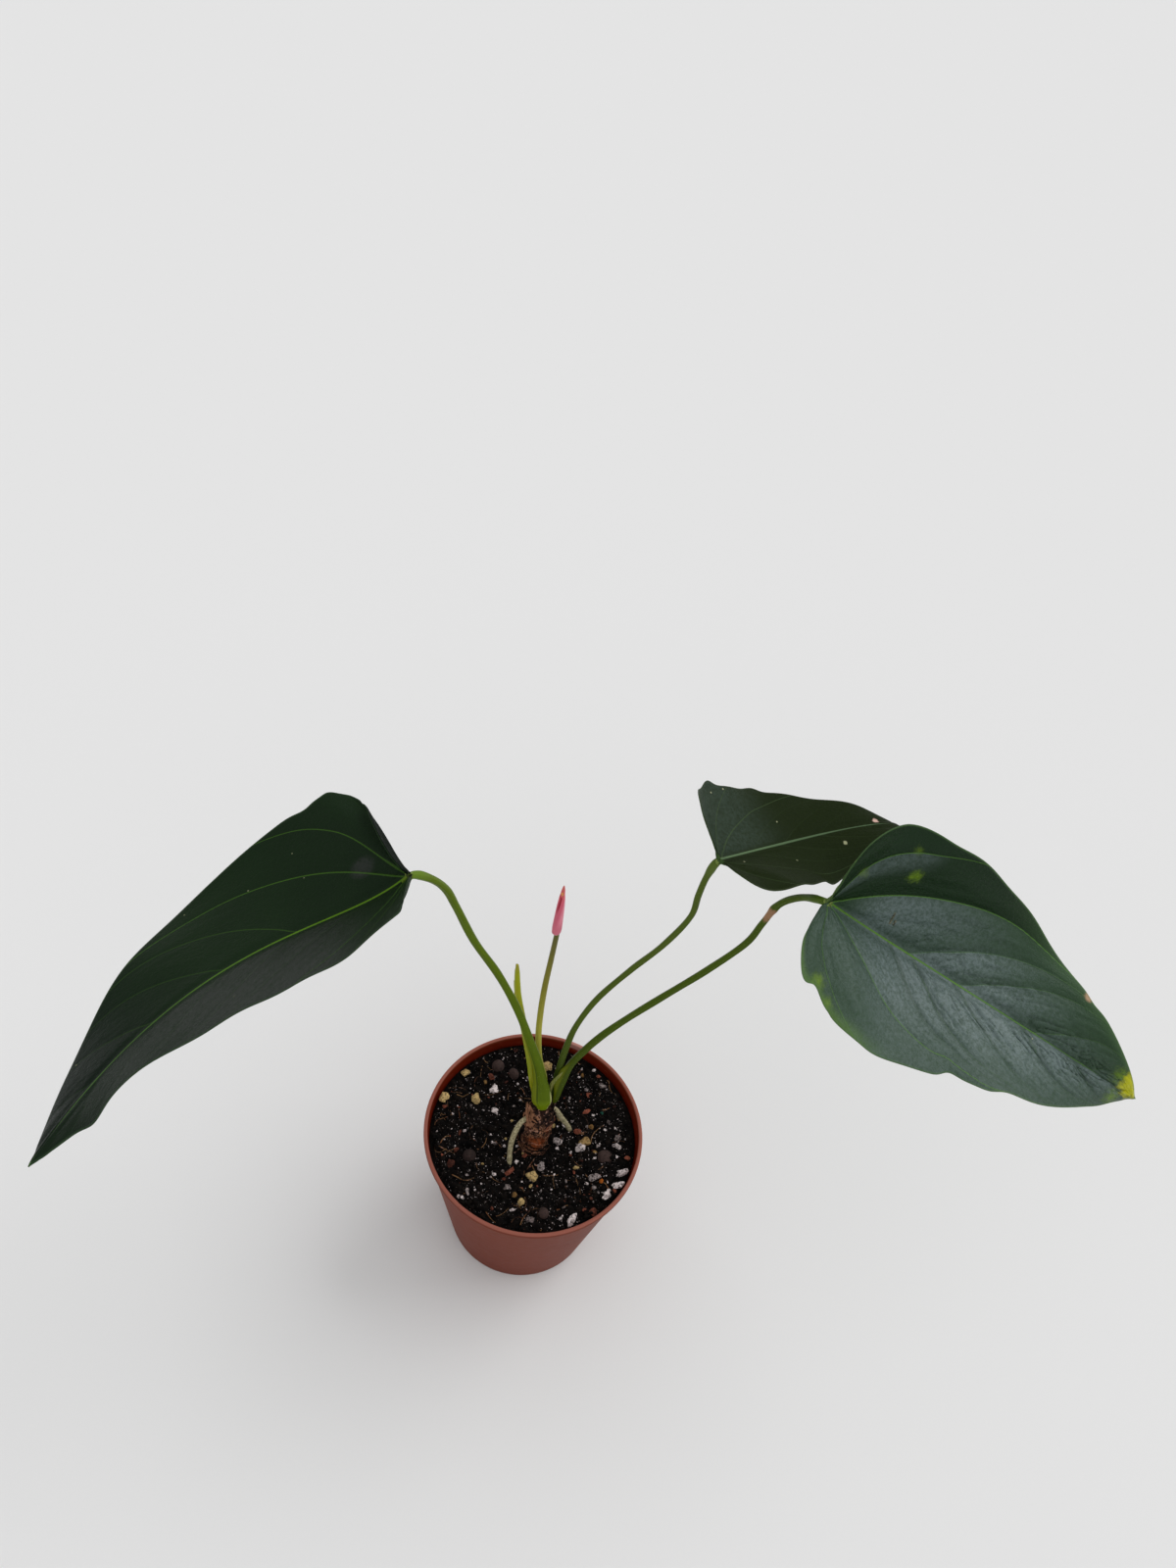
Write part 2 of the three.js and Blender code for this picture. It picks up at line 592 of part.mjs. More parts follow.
// Crown: each piece keeps clear of the ones before it
addPiece('new_shoot', cutBy(shootTube(), petioleCopies), colours.shootGreen);
addPiece('flower_stalk', cutBy(stalkTube(), [...petioleCopies, shootTube(gap)]), colours.stalkOlive);
addPiece('cataphyll', cutBy(cataphyllTube(), [...petioleCopies, stalkTube(gap)]), colours.dryBract);
addPiece('spathe_bud', spatheBud(), colours.spathePink);
addPiece('spadix', budTube(spadixFoot, spadixLength, spadixSizes, { sides: 10, steps: 8 }), colours.spadixCream);

// Rhizome with its buried roots, and sockets for what grows from it
const crownCopies = [...petioleCopies, shootTube(gap), stalkTube(gap), cataphyllTube(gap)];
const aerialCopies = Object.values(aerialRoots).map((path) => aerialRootTube(path, gap));
const rhizome = sum([rhizomeColumn({ sides: 20, steps: 30, relief: scarRelief }), ...buriedRoots(0)]);
addPiece('rhizome', cutBy(rhizome, [...crownCopies, ...aerialCopies]), colours.rhizomeBark);
for (const [name, path] of Object.entries(aerialRoots)) addPiece(name, aerialRootTube(path), colours.rootSkin);

// Pot, and the mix with plain holes where the rhizome and the roots stand in it
const reliefReach = 3 * scarRidge;
const rhizomeHole = rhizomeColumn({ sides: 20, steps: 12, grow: gap + reliefReach });
addPiece('potting_mix', cutBy(pottingMix(), [rhizomeHole, ...buriedRoots(gap), ...aerialCopies]), colours.peat);
addPiece('pot', pot(), colours.terracotta);

export default plant;
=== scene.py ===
# Potted flamingo flower: a young anthurium with three leaves, a new shoot and one rolled pink flower bud,
# standing in a plain nursery pot. Shapes are worked out in millimetres and built in metres.
import math
import random

import bmesh
import bpy
import numpy as np
from mathutils import Matrix, Vector


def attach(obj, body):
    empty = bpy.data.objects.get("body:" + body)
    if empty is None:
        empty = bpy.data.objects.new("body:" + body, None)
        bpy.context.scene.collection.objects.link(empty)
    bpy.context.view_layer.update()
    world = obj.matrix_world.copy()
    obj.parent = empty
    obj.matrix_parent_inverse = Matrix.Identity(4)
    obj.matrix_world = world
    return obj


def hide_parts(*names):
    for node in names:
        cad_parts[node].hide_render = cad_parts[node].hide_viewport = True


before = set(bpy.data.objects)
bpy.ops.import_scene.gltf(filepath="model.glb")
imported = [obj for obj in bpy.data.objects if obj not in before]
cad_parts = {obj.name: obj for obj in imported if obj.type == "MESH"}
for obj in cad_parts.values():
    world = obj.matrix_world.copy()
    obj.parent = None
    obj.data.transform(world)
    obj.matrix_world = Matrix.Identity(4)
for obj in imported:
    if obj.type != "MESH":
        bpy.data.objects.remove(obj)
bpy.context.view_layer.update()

mm = 0.001
scene = bpy.context.scene


# ---- mesh tools: every piece is a closed mesh that rides on the part's one body

def smoothStep(value, low, high):
    share = np.clip((np.asarray(value, float) - low) / (high - low), 0, 1)
    return share * share * (3 - 2 * share)


def unit(vectors):
    return vectors / np.maximum(np.linalg.norm(vectors, axis=-1, keepdims=True), 1e-9)


def latticeValue(cell, seed):
    mask = np.int64(0xFFFFFFFF)
    mixed = (cell[..., 0] * 374761393 + cell[..., 1] * 668265263 + cell[..., 2] * 1442695041 + seed * 69069) & mask
    mixed = ((mixed ^ (mixed >> 13)) * 1274126177) & mask
    mixed = ((mixed ^ (mixed >> 15)) * 2246822519) & mask
    return (mixed ^ (mixed >> 16)) / 2147483648.0 - 1


def lumps(points, size, seed=0):
    # soft lumps about size across, from -1 to 1
    place = np.asarray(points, float) / size + 13.7 * (seed + 1)
    cell = np.floor(place).astype(np.int64)
    share = place - cell
    share = share * share * (3 - 2 * share)
    total = 0
    for corner in np.ndindex(2, 2, 2):
        corner = np.array(corner)
        weight = np.prod(np.where(corner == 1, share, 1 - share), axis=-1)
        total = total + weight * latticeValue(cell + corner, seed)
    return total


def together(*parts):
    # numbers or arrays as the last axis of one array
    return np.stack(np.broadcast_arrays(*parts), axis=-1)


def onCircle(radius, angle, height):
    return together(radius * np.cos(angle), radius * np.sin(angle), height)


def fromTable(table, share, column=1):
    rows = np.asarray(table, float)
    return np.interp(share, rows[:, 0], rows[:, column])


def gridQuads(rows, columns, roundColumns=False):
    index = np.arange(rows * columns).reshape(rows, columns)
    following = np.roll(index, -1, axis=1)
    if not roundColumns:
        index, following = index[:, :-1], following[:, :-1]
    return together(index[:-1], following[:-1], following[1:], index[1:]).reshape(-1, 4).tolist()


def tubeFaces(rows, columns):
    # rings closed into a tube, with a cap at each end
    last = (rows - 1) * columns
    caps = [list(range(columns))[::-1], list(range(last, last + columns))]
    return gridQuads(rows, columns, roundColumns=True) + caps


def makePiece(name, points, faces, finish, fields=None, slot=None, replaces=(), sharpAngle=None):
    mesh = bpy.data.meshes.new(name)
    mesh.from_pydata((np.asarray(points, float) * mm).tolist(), [], faces)
    for fieldName, values in (fields or {}).items():
        values = np.asarray(values, np.float32)
        kind, key = ("FLOAT_VECTOR", "vector") if values.ndim == 2 else ("FLOAT", "value")
        attribute = mesh.attributes.new(fieldName, kind, "POINT")
        attribute.data.foreach_set(key, values.ravel())
    mesh.validate()
    mesh.shade_smooth()
    if sharpAngle:
        mesh.set_sharp_from_angle(angle=math.radians(sharpAngle))
    mesh.materials.append(finish.material)
    piece = bpy.data.objects.new(name, mesh)
    scene.collection.objects.link(piece)
    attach(piece, "root")
    if replaces:
        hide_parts(*replaces)
    return piece


def sheetSolid(sheet, thickness):
    # a thin closed solid about a grid of points, with a rim all round
    rows, columns = sheet.shape[:2]
    normal = unit(np.cross(np.gradient(sheet, axis=1), np.gradient(sheet, axis=0)))
    half = np.broadcast_to(np.asarray(thickness, float) / 2, (rows, columns))[..., None]
    count = rows * columns
    points = np.concatenate([(sheet + normal * half).reshape(-1, 3), (sheet - normal * half).reshape(-1, 3)])
    front = gridQuads(rows, columns)
    back = [[corner + count for corner in reversed(quad)] for quad in front]
    index = np.arange(count).reshape(rows, columns)
    loop = [*index[0, :-1], *index[:-1, -1], *index[-1, :0:-1], *index[:0:-1, 0]]
    rim = [[int(b), int(a), int(a) + count, int(b) + count] for a, b in zip(loop, loop[1:] + loop[:1])]
    return points, front + back + rim


class Bundle:
    # many small solids gathered into one mesh, each vertex with its solid's tone
    def __init__(self):
        self.points, self.faces, self.tones, self.count = [], [], [], 0

    def add(self, points, faces, tone=0.0):
        self.points.append(points)
        self.faces.extend([[corner + self.count for corner in face] for face in faces])
        self.tones.append(np.full(len(points), tone))
        self.count += len(points)

    def addStrand(self, path, thick, narrow, flat, sides, steps, tone):
        # a thin fibre that narrows towards its end
        sizes = [(0, thick, thick * flat[0]), (1, thick * narrow, thick * flat[1])]
        self.add(*tubeSolid(path, sizes, sides, steps, domes=1)[:2], tone)

    def make(self, name, finish, **more):
        fields = {"tone": np.concatenate(self.tones)}
        return makePiece(name, np.concatenate(self.points), self.faces, finish, fields, **more)


def smoothPath(path, count):
    # evenly spaced points and directions along a centripetal curve through the path
    points = np.asarray(path, float)
    points = np.vstack([2 * points[0] - points[1], points, 2 * points[-1] - points[-2]])
    dense = []
    for before, start, end, after in zip(points, points[1:], points[2:], points[3:]):
        gapA, gapB, gapC = [math.sqrt(np.linalg.norm(b - a)) for a, b in
                            ((before, start), (start, end), (end, after))]
        leave = ((start - before) / gapA - (end - before) / (gapA + gapB) + (end - start) / gapB) * gapB
        arrive = ((end - start) / gapB - (after - start) / (gapB + gapC) + (after - end) / gapC) * gapB
        t = np.linspace(0, 1, 60, endpoint=False)[:, None]
        square = (3 * (end - start) - 2 * leave - arrive) * t ** 2
        cube = (2 * (start - end) + leave + arrive) * t ** 3
        dense.append(start + leave * t + square + cube)
    dense = np.vstack([*dense, points[-2]])
    length = np.concatenate([[0], np.cumsum(np.linalg.norm(np.diff(dense, axis=0), axis=1))])
    spaced = np.linspace(0, length[-1], count)
    centre = np.stack([np.interp(spaced, length, dense[:, axis]) for axis in range(3)], axis=1)
    return centre, unit(np.gradient(centre, axis=0)), length[-1]


def crossAxes(along):
    # across a path, level and facing away from the viewer
    deep = unit(np.array([0.0, 1.0, 0.0]) - along * along[:, 1:2])
    return np.cross(deep, along), deep


def tubeSolid(path, sizes, sides, steps, relief=None, domes=4, domeRise=1.0, blur=0.025):
    # sizes rows give a share of the length, half width and half depth; the ends are domed
    centre, along, length = smoothPath(path, steps)
    share = np.linspace(0, 1, steps)
    blurWide = max(3, int(steps * blur)) | 1
    halves = []
    for column in (1, 2):
        padded = np.pad(fromTable(sizes, share, column), blurWide, mode="edge")
        halves.append(np.convolve(padded, np.ones(blurWide) / blurWide, "same")[blurWide:-blurWide])
    quarter = np.linspace(0, math.pi / 2, domes + 1)[1:]
    bend, shrink = np.sin(quarter) * domeRise, np.cos(quarter)
    shrink[-1] = 0.02
    foot, tip = np.minimum(halves[0], halves[1])[[0, -1]]
    centre = np.vstack([(centre[0] - along[0] * foot * bend[::-1, None]), centre,
                        (centre[-1] + along[-1] * tip * bend[:, None])])
    along = np.vstack([np.repeat(along[:1], domes, 0), along, np.repeat(along[-1:], domes, 0)])
    scale = np.concatenate([shrink[::-1], np.ones(steps), shrink])
    share = np.concatenate([np.zeros(domes), share, np.ones(domes)])
    wideHalf = np.pad(halves[0], domes, mode="edge") * scale
    deepHalf = np.pad(halves[1], domes, mode="edge") * scale
    wide, deep = crossAxes(along)
    angle = np.linspace(0, 2 * math.pi, sides, endpoint=False)
    shares, angles = np.meshgrid(share, angle, indexing="ij")
    bulge = 1.0
    if relief is not None:
        flatEnd = np.minimum(1, scale * 1.5)[:, None]
        bulge = 1 + relief(shares, angles) * flatEnd / np.maximum(np.minimum(wideHalf, deepHalf), 0.3)[:, None]
    grid = centre[:, None] + wide[:, None] * (wideHalf[:, None] * bulge * np.cos(angles))[..., None] \
        + deep[:, None] * (deepHalf[:, None] * bulge * np.sin(angles))[..., None]
    stem = together(shares, angles / (2 * math.pi), length).reshape(-1, 3)
    return grid.reshape(-1, 3), tubeFaces(len(share), sides), stem


def makeTube(name, shape, relief, finish, slot, node, **more):
    points, faces, stem = tubeSolid(shape["path"], shape["sizes"], shape["sides"], shape["steps"], relief, **more)
    makePiece(name, points, faces, finish, {"stem": stem}, slot, [node])


def ballShape(level):
    ball = bmesh.new()
    bmesh.ops.create_icosphere(ball, subdivisions=level, radius=1)
    points = np.array([vertex.co[:] for vertex in ball.verts])
    faces = [[vertex.index for vertex in face.verts] for face in ball.faces]
    ball.free()
    return points, faces


balls = {level: ballShape(level) for level in (1, 2, 3)}


def lumpSolid(chance, size, level, rough, flat=0.75, corners=0.0):
    # one stony lump: a ball pushed in and out, cut by a few flat sides, and turned at random
    points, faces = balls[level]
    points = points.copy()
    for _ in range(int(corners)):
        side = unit(np.array([chance.gauss(0, 1) for _ in range(3)]))
        depth = chance.uniform(0.55, 0.8)
        over = np.maximum(points @ side - depth, 0)
        points = points - over[:, None] * side
    shift = chance.uniform(0, 900)
    push = 1 + rough * lumps(points + shift, 0.9, 1) + 0.5 * rough * lumps(points + shift, 0.4, 2)
    stretch = np.array([1.0, chance.uniform(flat, 1), chance.uniform(flat * 0.8, 0.95)])
    points = points * push[:, None] * stretch * size / 2
    turn = Matrix.Rotation(chance.uniform(0, 6.28), 3, Vector([chance.gauss(0, 1) for _ in range(3)]))
    return points @ np.array(turn).T, faces


# ---- shader tools

class Value:
    # a number on a socket; arithmetic with it adds Math nodes
    def __init__(self, finish, socket):
        self.finish, self.socket = finish, socket

    def math(self, operation, first, second=0.0):
        return self.finish.node("ShaderNodeMath", {"operation": operation}, {0: first, 1: second})

    def __add__(self, other):
        return self.math("ADD", self, other)

    def __sub__(self, other):
        return self.math("SUBTRACT", self, other)

    def __rsub__(self, other):
        return self.math("SUBTRACT", other, self)

    def __mul__(self, other):
        return self.math("MULTIPLY", self, other)

    def __abs__(self):
        return self.math("ABSOLUTE", self)

    __radd__ = __add__
    __rmul__ = __mul__


def tone(red, green, blue):
    # a colour as seen on a screen, 0 to 255, turned into light
    parts = [part / 255 for part in (red, green, blue)]
    return (*[part / 12.92 if part < 0.04045 else ((part + 0.055) / 1.055) ** 2.4 for part in parts], 1)


class Finish:
    # one material: fixed values go on its shader, varying ones are fed in, and tints build up its colour
    def __init__(self, name, **shader):
        self.material = bpy.data.materials.new(name)
        self.material.use_nodes = True
        self.tree = self.material.node_tree
        self.shader = self.tree.nodes["Principled BSDF"]
        for socket, value in shader.items():
            self.shader.inputs[socket.replace("_", " ")].default_value = value

    def node(self, kind, settings=None, sockets=None, output=0):
        made = self.tree.nodes.new(kind)
        for key, value in (settings or {}).items():
            setattr(made, key, value)
        for key, value in (sockets or {}).items():
            self.plug(made.inputs[key], value)
        return Value(self, made.outputs[output])

    def plug(self, socket, value):
        if isinstance(value, Value):
            self.tree.links.new(value.socket, socket)
        else:
            socket.default_value = value

    def feed(self, socket, value):
        self.plug(self.shader.inputs[socket], value)

    def field(self, name, output="Vector"):
        return self.node("ShaderNodeAttribute", {"attribute_name": name}, output=output)

    def parts(self, vector):
        made = self.node("ShaderNodeSeparateXYZ", sockets={0: vector})
        return [Value(self, output) for output in made.socket.node.outputs]

    def vector(self, x, y, z=0.0):
        return self.node("ShaderNodeCombineXYZ", sockets={0: x, 1: y, 2: z})

    def place(self):
        return self.node("ShaderNodeTexCoord", output="Object")

    def stretched(self, *scale):
        return self.node("ShaderNodeMapping", sockets={"Vector": self.place(), "Scale": scale})

    def noise(self, vector, scale, detail=3.0, roughness=0.55):
        sockets = {"Vector": vector, "Scale": scale, "Detail": detail, "Roughness": roughness}
        return self.node("ShaderNodeTexNoise", sockets=sockets)

    def cells(self, vector, scale, feature="F1"):
        sockets = {"Vector": vector, "Scale": scale}
        return self.node("ShaderNodeTexVoronoi", {"feature": feature}, sockets, output="Distance")

    def fade(self, value, low, high):
        # 0 at low and 1 at high; low may be the larger
        sockets = {"Value": value, "From Min": low, "From Max": high}
        return self.node("ShaderNodeMapRange", {"interpolation_type": "SMOOTHSTEP"}, sockets)

    def mix(self, share, first, second):
        settings = {"data_type": "RGBA", "clamp_factor": True}
        return self.node("ShaderNodeMix", settings, {0: share, 6: first, 7: second}, output=2)

    def base(self, share, first, second):
        self.colour = self.mix(share, tone(*first), tone(*second))

    def ramp(self, value, *rows):
        # rows give a place from 0 to 1 and the colour there
        self.colour = self.node("ShaderNodeValToRGB", sockets={0: value})
        stops = self.colour.socket.node.color_ramp.elements
        while len(stops) < len(rows):
            stops.new(0.5)
        for stop, (place, *shade) in zip(list(stops), rows):
            stop.position, stop.color = place, tone(*shade)

    def tint(self, share, *shade):
        self.colour = self.mix(share, self.colour, tone(*shade))

    def distance(self, vector, point):
        return self.node("ShaderNodeVectorMath", {"operation": "DISTANCE"}, {0: vector, 1: point}, output="Value")

    def done(self, height, strength, distance):
        # the colour so far, and a bump of that height
        sockets = {"Height": height, "Strength": strength, "Distance": distance * mm}
        self.feed("Normal", self.node("ShaderNodeBump", sockets=sockets))
        self.feed("Base Color", self.colour)
        return self


# ---- camera, light and floor

viewpoint = {"place": (-3, -289, 651), "down": 47.5, "roll": 9.9, "lens": 29.25}
studio = {
    "surround": 0.6, "window": 1.15, "windowFrom": (57, 40), "windowSpread": 50,
    "overhead": 0.36, "overheadFrom": (150, 60), "overheadSpread": 80, "floor": (236, 236, 236),
    "floorHalf": 9000,
}


def addCamera():
    down, roll = math.radians(viewpoint["down"]), math.radians(viewpoint["roll"])
    forward = Vector((0, math.cos(down), -math.sin(down)))
    level = Vector((1, 0, 0))
    upright = Vector((0, math.sin(down), math.cos(down)))
    right = math.cos(roll) * level + math.sin(roll) * upright
    up = math.cos(roll) * upright - math.sin(roll) * level
    lens = bpy.data.cameras.new("camera")
    lens.lens, lens.sensor_width, lens.clip_end = viewpoint["lens"], 36, 30
    camera = bpy.data.objects.new("camera", lens)
    turn = Matrix((right, up, -forward)).transposed().to_4x4()
    camera.matrix_world = Matrix.Translation(Vector(viewpoint["place"]) * mm) @ turn
    scene.collection.objects.link(camera)
    scene.camera = camera


def addSun(name, strength, fromWhere, spread):
    azimuth, height = [math.radians(angle) for angle in fromWhere]
    toward = Vector((math.sin(azimuth) * math.cos(height), math.cos(azimuth) * math.cos(height), math.sin(height)))
    lamp = bpy.data.lights.new(name, "SUN")
    lamp.energy, lamp.angle = strength, math.radians(spread)
    sun = bpy.data.objects.new(name, lamp)
    sun.rotation_euler = toward.to_track_quat("Z", "Y").to_euler()
    scene.collection.objects.link(sun)


def addStudio():
    scene.view_settings.view_transform = "Standard"
    world = bpy.data.worlds.new("studio")
    scene.world = world
    world.use_nodes = True
    background = world.node_tree.nodes["Background"]
    background.inputs["Color"].default_value = (1, 1, 1, 1)
    background.inputs["Strength"].default_value = studio["surround"]
    addSun("window", studio["window"], studio["windowFrom"], studio["windowSpread"])
    addSun("overhead", studio["overhead"], studio["overheadFrom"], studio["overheadSpread"])
    paper = Finish("backdrop_paper", Roughness=0.95, Specular_IOR_Level=0.0)
    paper.base(paper.noise(paper.place(), 900.0), studio["floor"], [part - 2 for part in studio["floor"]])
    paper.feed("Base Color", paper.colour)
    half = studio["floorHalf"] * mm
    mesh = bpy.data.meshes.new("floor")
    mesh.from_pydata([(-half, -half, 0), (half, -half, 0), (half, half, 0), (-half, half, 0)], [], [[0, 1, 2, 3]])
    mesh.materials.append(paper.material)
    floor = bpy.data.objects.new("floor", mesh)
    scene.collection.objects.link(floor)


addCamera()
addStudio()
print("camera, light and floor are up")


# ---- leaf blades

blade = {
    "thick": 0.75, "thinEdge": 0.3, "midribKeel": 1.4, "midribRidge": 0.4, "veinKeel": 0.45,
    "veinHalf": 0.42, "outline": [
        (0, 0), (-0.035, 0.05), (-0.062, 0.11), (-0.058, 0.175), (-0.01, 0.235), (0.08, 0.272), (0.18, 0.283),
        (0.3, 0.272), (0.42, 0.245), (0.55, 0.205), (0.68, 0.157), (0.8, 0.105), (0.9, 0.056), (1, 0),
    ],
    # rows of points run from the midrib out, closer together at the midrib and at the margin
    "nearMidrib": [0, 0.007, 0.014, 0.023, 0.034, 0.05], "between": (0.07, 0.955, 46),
    "nearMargin": [0.97, 0.982, 0.992, 1],
    "lobeShare": 0.3, "ribSweep": 1.25, "marginDroop": 0.12, "quilt": 0.33, "wave": 0.9, "waves": 5,
}

# Ripples, leans and handles are those of the solids. Veins of each half: where each one leaves the midrib,
# as a share of the way round the margin, how far it runs on straight and then hooks, and how strongly it shows.
leaves = {
    "left": {
        "midrib": [(-66, 14, 250), (-89, -2.8, 226), (-146, -10.3, 223.3), (-170, -112.8, 217.5)],
        "breadth": 1.0, "lobeLength": 0.17, "leanLeft": [33, 44, 38, 37, 36, 40, 13],
        "leanRight": [78, 15, 19, -6, -15, -32, -44],
        "ripples": [(1, 0.08, -0.44, 0.05), (1, 0.18, -0.15, 0.05), (1, 0.89, 0.24, 0.025), (-1, 0.2, -0.066, 0.03),
                    (-1, 0.29, 0.035, 0.02), (-1, 0.35, -0.026, 0.02)],
        "veinsLeft": [(0.14, 0.05, 0.03, 0.2), (0.25, 0.03, 0.02, 0.6), (0.31, 0.02, 0.13, 0.75),
                      (0.42, 0.16, 0.05, 0.2), (0.55, 0.12, 0.05, 0.2), (0.67, 0.1, 0.04, 0.15),
                      (0.78, 0.07, 0.03, 0.1), (0.88, 0.05, 0.02, 0.1)],
        "veinsRight": [(0.15, 0.05, 0.06, 0.15), (0.3, 0.03, 0.108, 0.8), (0.31, 0.265, 0.089, 0.85),
                       (0.551, 0.087, 0.068, 0.4), (0.668, 0.062, 0.039, 0.3), (0.782, 0.039, 0.01, 0.3),
                       (0.88, 0.03, 0.01, 0.15)],
        "quiltDepth": 0.4, "crinkle": 0.07, "ridges": 0.0, "rounds": 240,
    },
    "front_right": {
        "midrib": [(101, 37, 250), (147.3, 50.2, 207), (202, 8.4, 219.9), (252, 13.1, 183.8)],
        "breadth": 1.13, "lobeLength": 1.2, "leanLeft": [103, 77, 72, 57, 31, 49, 84],
        "leanRight": [-32, -21, -2, 0, 2, -22, -59],
        "ripples": [(-1, 0.145, 0.042, 0.02), (-1, 0.18, -0.11, 0.02), (-1, 0.58, -0.047, 0.02),
                    (-1, 0.65, 0.047, 0.03), (-1, 0.92, 0.04, 0.03), (1, 0.79, -0.028, 0.02)],
        "veinsLeft": [(0.05, 0.03, 0.02, 0.6), (0.184, 0.069, 0.179, 0.9), (0.31, 0.245, 0.187, 1.0),
                      (0.555, 0.15, 0.09, 0.35), (0.658, 0.118, 0.06, 0.3), (0.796, 0.083, 0.029, 0.3),
                      (0.9, 0.04, 0.01, 0.15)],
        "veinsRight": [(0.159, 0.021, 0.123, 0.7), (0.31, 0.2, 0.173, 0.95), (0.511, 0.03, 0.185, 0.12),
                       (0.564, 0.03, 0.165, 0.25), (0.651, 0.069, 0.095, 0.2), (0.777, 0.046, 0.1, 0.2),
                       (0.87, 0.05, 0.03, 0.15)],
        "quiltDepth": 1.1, "crinkle": 0.34, "ridges": 1.1, "rounds": 320,
    },
    "back_right": {
        "midrib": [(54, 39, 262), (85.9, 81.7, 229.5), (132.7, 92.8, 251.7), (137.9, 98.9, 233.2)],
        "breadth": 1.04, "lobeLength": 1.08, "leanLeft": [62, 44, 23, 12, 3, 0, -28],
        "leanRight": [20, 12, 21, 15, -4, 7, 16],
        "ripples": [(1, 0.35, 0.103, 0.03), (1, 0.52, 0.063, 0.03)],
        "veinsLeft": [(0.14, 0.05, 0.03, 0.25), (0.3, 0.12, 0.011, 0.7), (0.32, 0.33, 0.0, 0.75),
                      (0.52, 0.15, 0.05, 0.15), (0.64, 0.12, 0.04, 0.15), (0.75, 0.08, 0.04, 0.1),
                      (0.87, 0.06, 0.02, 0.1)],
        "veinsRight": [(0.122, 0.168, 0.0, 0.5), (0.22, 0.38, 0.2, 0.6), (0.47, 0.3, 0.1, 0.2),
                       (0.62, 0.22, 0.06, 0.2), (0.75, 0.15, 0.03, 0.2), (0.87, 0.08, 0.01, 0.1)],
        "quiltDepth": 0.4, "crinkle": 0.08, "ridges": 0.0, "rounds": 220,
    },
}


def evenCurve(values, share):
    # smooth curve through evenly spaced values
    values = np.asarray(values, float)
    spans = len(values) - 1
    place = np.clip(share, 0, 1) * spans
    low = np.minimum(np.floor(place).astype(int), spans - 1)
    t = place - low
    if values.ndim > 1:
        t = t[..., None]
    before, start = values[np.maximum(low - 1, 0)], values[low]
    end, after = values[low + 1], values[np.minimum(low + 2, spans)]
    square = 2 * before - 5 * start + 4 * end - after
    cube = 3 * start - before - 3 * end + after
    return 0.5 * (2 * start + (end - before) * t + square * t ** 2 + cube * t ** 3)


def evenLengths(curve, count=600):
    share = np.linspace(0, 1, count)
    points = curve(share)
    return share, np.concatenate([[0], np.cumsum(np.linalg.norm(np.diff(points, axis=0), axis=1))])


outlineShare, outlineLength = evenLengths(lambda share: evenCurve(blade["outline"], share))


class Midrib:
    # a leaf's midrib, by share of its length
    def __init__(self, handles):
        self.handles = np.asarray(handles, float)
        self.share, lengths = evenLengths(self.bezier)
        self.length = lengths[-1]
        self.even = lengths / self.length

    def bezier(self, t):
        t = np.asarray(t)[..., None]
        a, b, c, d = self.handles
        return (1 - t) ** 3 * a + 3 * (1 - t) ** 2 * t * b + 3 * (1 - t) * t ** 2 * c + t ** 3 * d

    def at(self, share):
        t = np.interp(share, self.even, self.share)
        step = 1e-3
        return self.bezier(t), unit(self.bezier(np.minimum(t + step, 1)) - self.bezier(np.maximum(t - step, 0)))


def bladeForm(leaf, midrib, around, out, side):
    # the leaf's own surface, as in the solids, and each point's place on the flat blade
    margin = evenCurve(blade["outline"], np.interp(around * outlineLength[-1], outlineLength, outlineShare))
    tipward = np.where(margin[..., 0] < 0, margin[..., 0] * leaf["lobeLength"], margin[..., 0])
    sweep = np.clip((around - blade["lobeShare"]) / (1 - blade["lobeShare"]), 0, 1) ** blade["ribSweep"]
    root = np.minimum(sweep, np.clip(tipward, 0, 1))
    reach = out.copy()
    for rippleSide, at, height, width in leaf["ripples"]:
        if rippleSide == side:
            reach = reach * (1 + height * np.exp(-((around - at) / width) ** 2) * out)
    x = root + (tipward - root) * reach
    y = margin[..., 1] * leaf["breadth"] * reach
    centre, along = midrib.at(np.clip(x, 0, 1))
    level = unit(np.cross(np.array([0.0, 0.0, 1.0]), along))
    upright = np.cross(along, level)
    lean = np.radians(evenCurve(leaf["leanLeft" if side > 0 else "leanRight"], around))
    rise = y * midrib.length * (np.sin(lean) - blade["marginDroop"] * y)
    points = centre + along * (np.minimum(x, 0) * midrib.length)[..., None]
    points = points + level * (side * y * midrib.length * np.cos(lean))[..., None] + upright * rise[..., None]
    waves = np.sin(around * blade["waves"] * 2 * math.pi + side) * np.sin(math.pi * around)
    points[..., 2] += blade["wave"] * out ** 3 * waves + blade["quilt"] * np.sin(math.pi * out)
    return points, x * midrib.length, side * y * midrib.length


def veinPlace(veins, around, out):
    # a count that is whole on each vein and grows from the sinus to the tip, and how strongly veins show
    table = np.array([(0, 0, 0, 0), *veins, (1, 0, 0, 0)])
    count = np.arange(len(table))
    phase = np.empty_like(around)
    for column in range(out.shape[1]):
        reached = table[:, 0] + table[:, 1] * out[0, column] + table[:, 2] * out[0, column] ** 4
        phase[:, column] = np.interp(around[:, column], reached, count)
    return phase, np.interp(phase, count, table[:, 3])


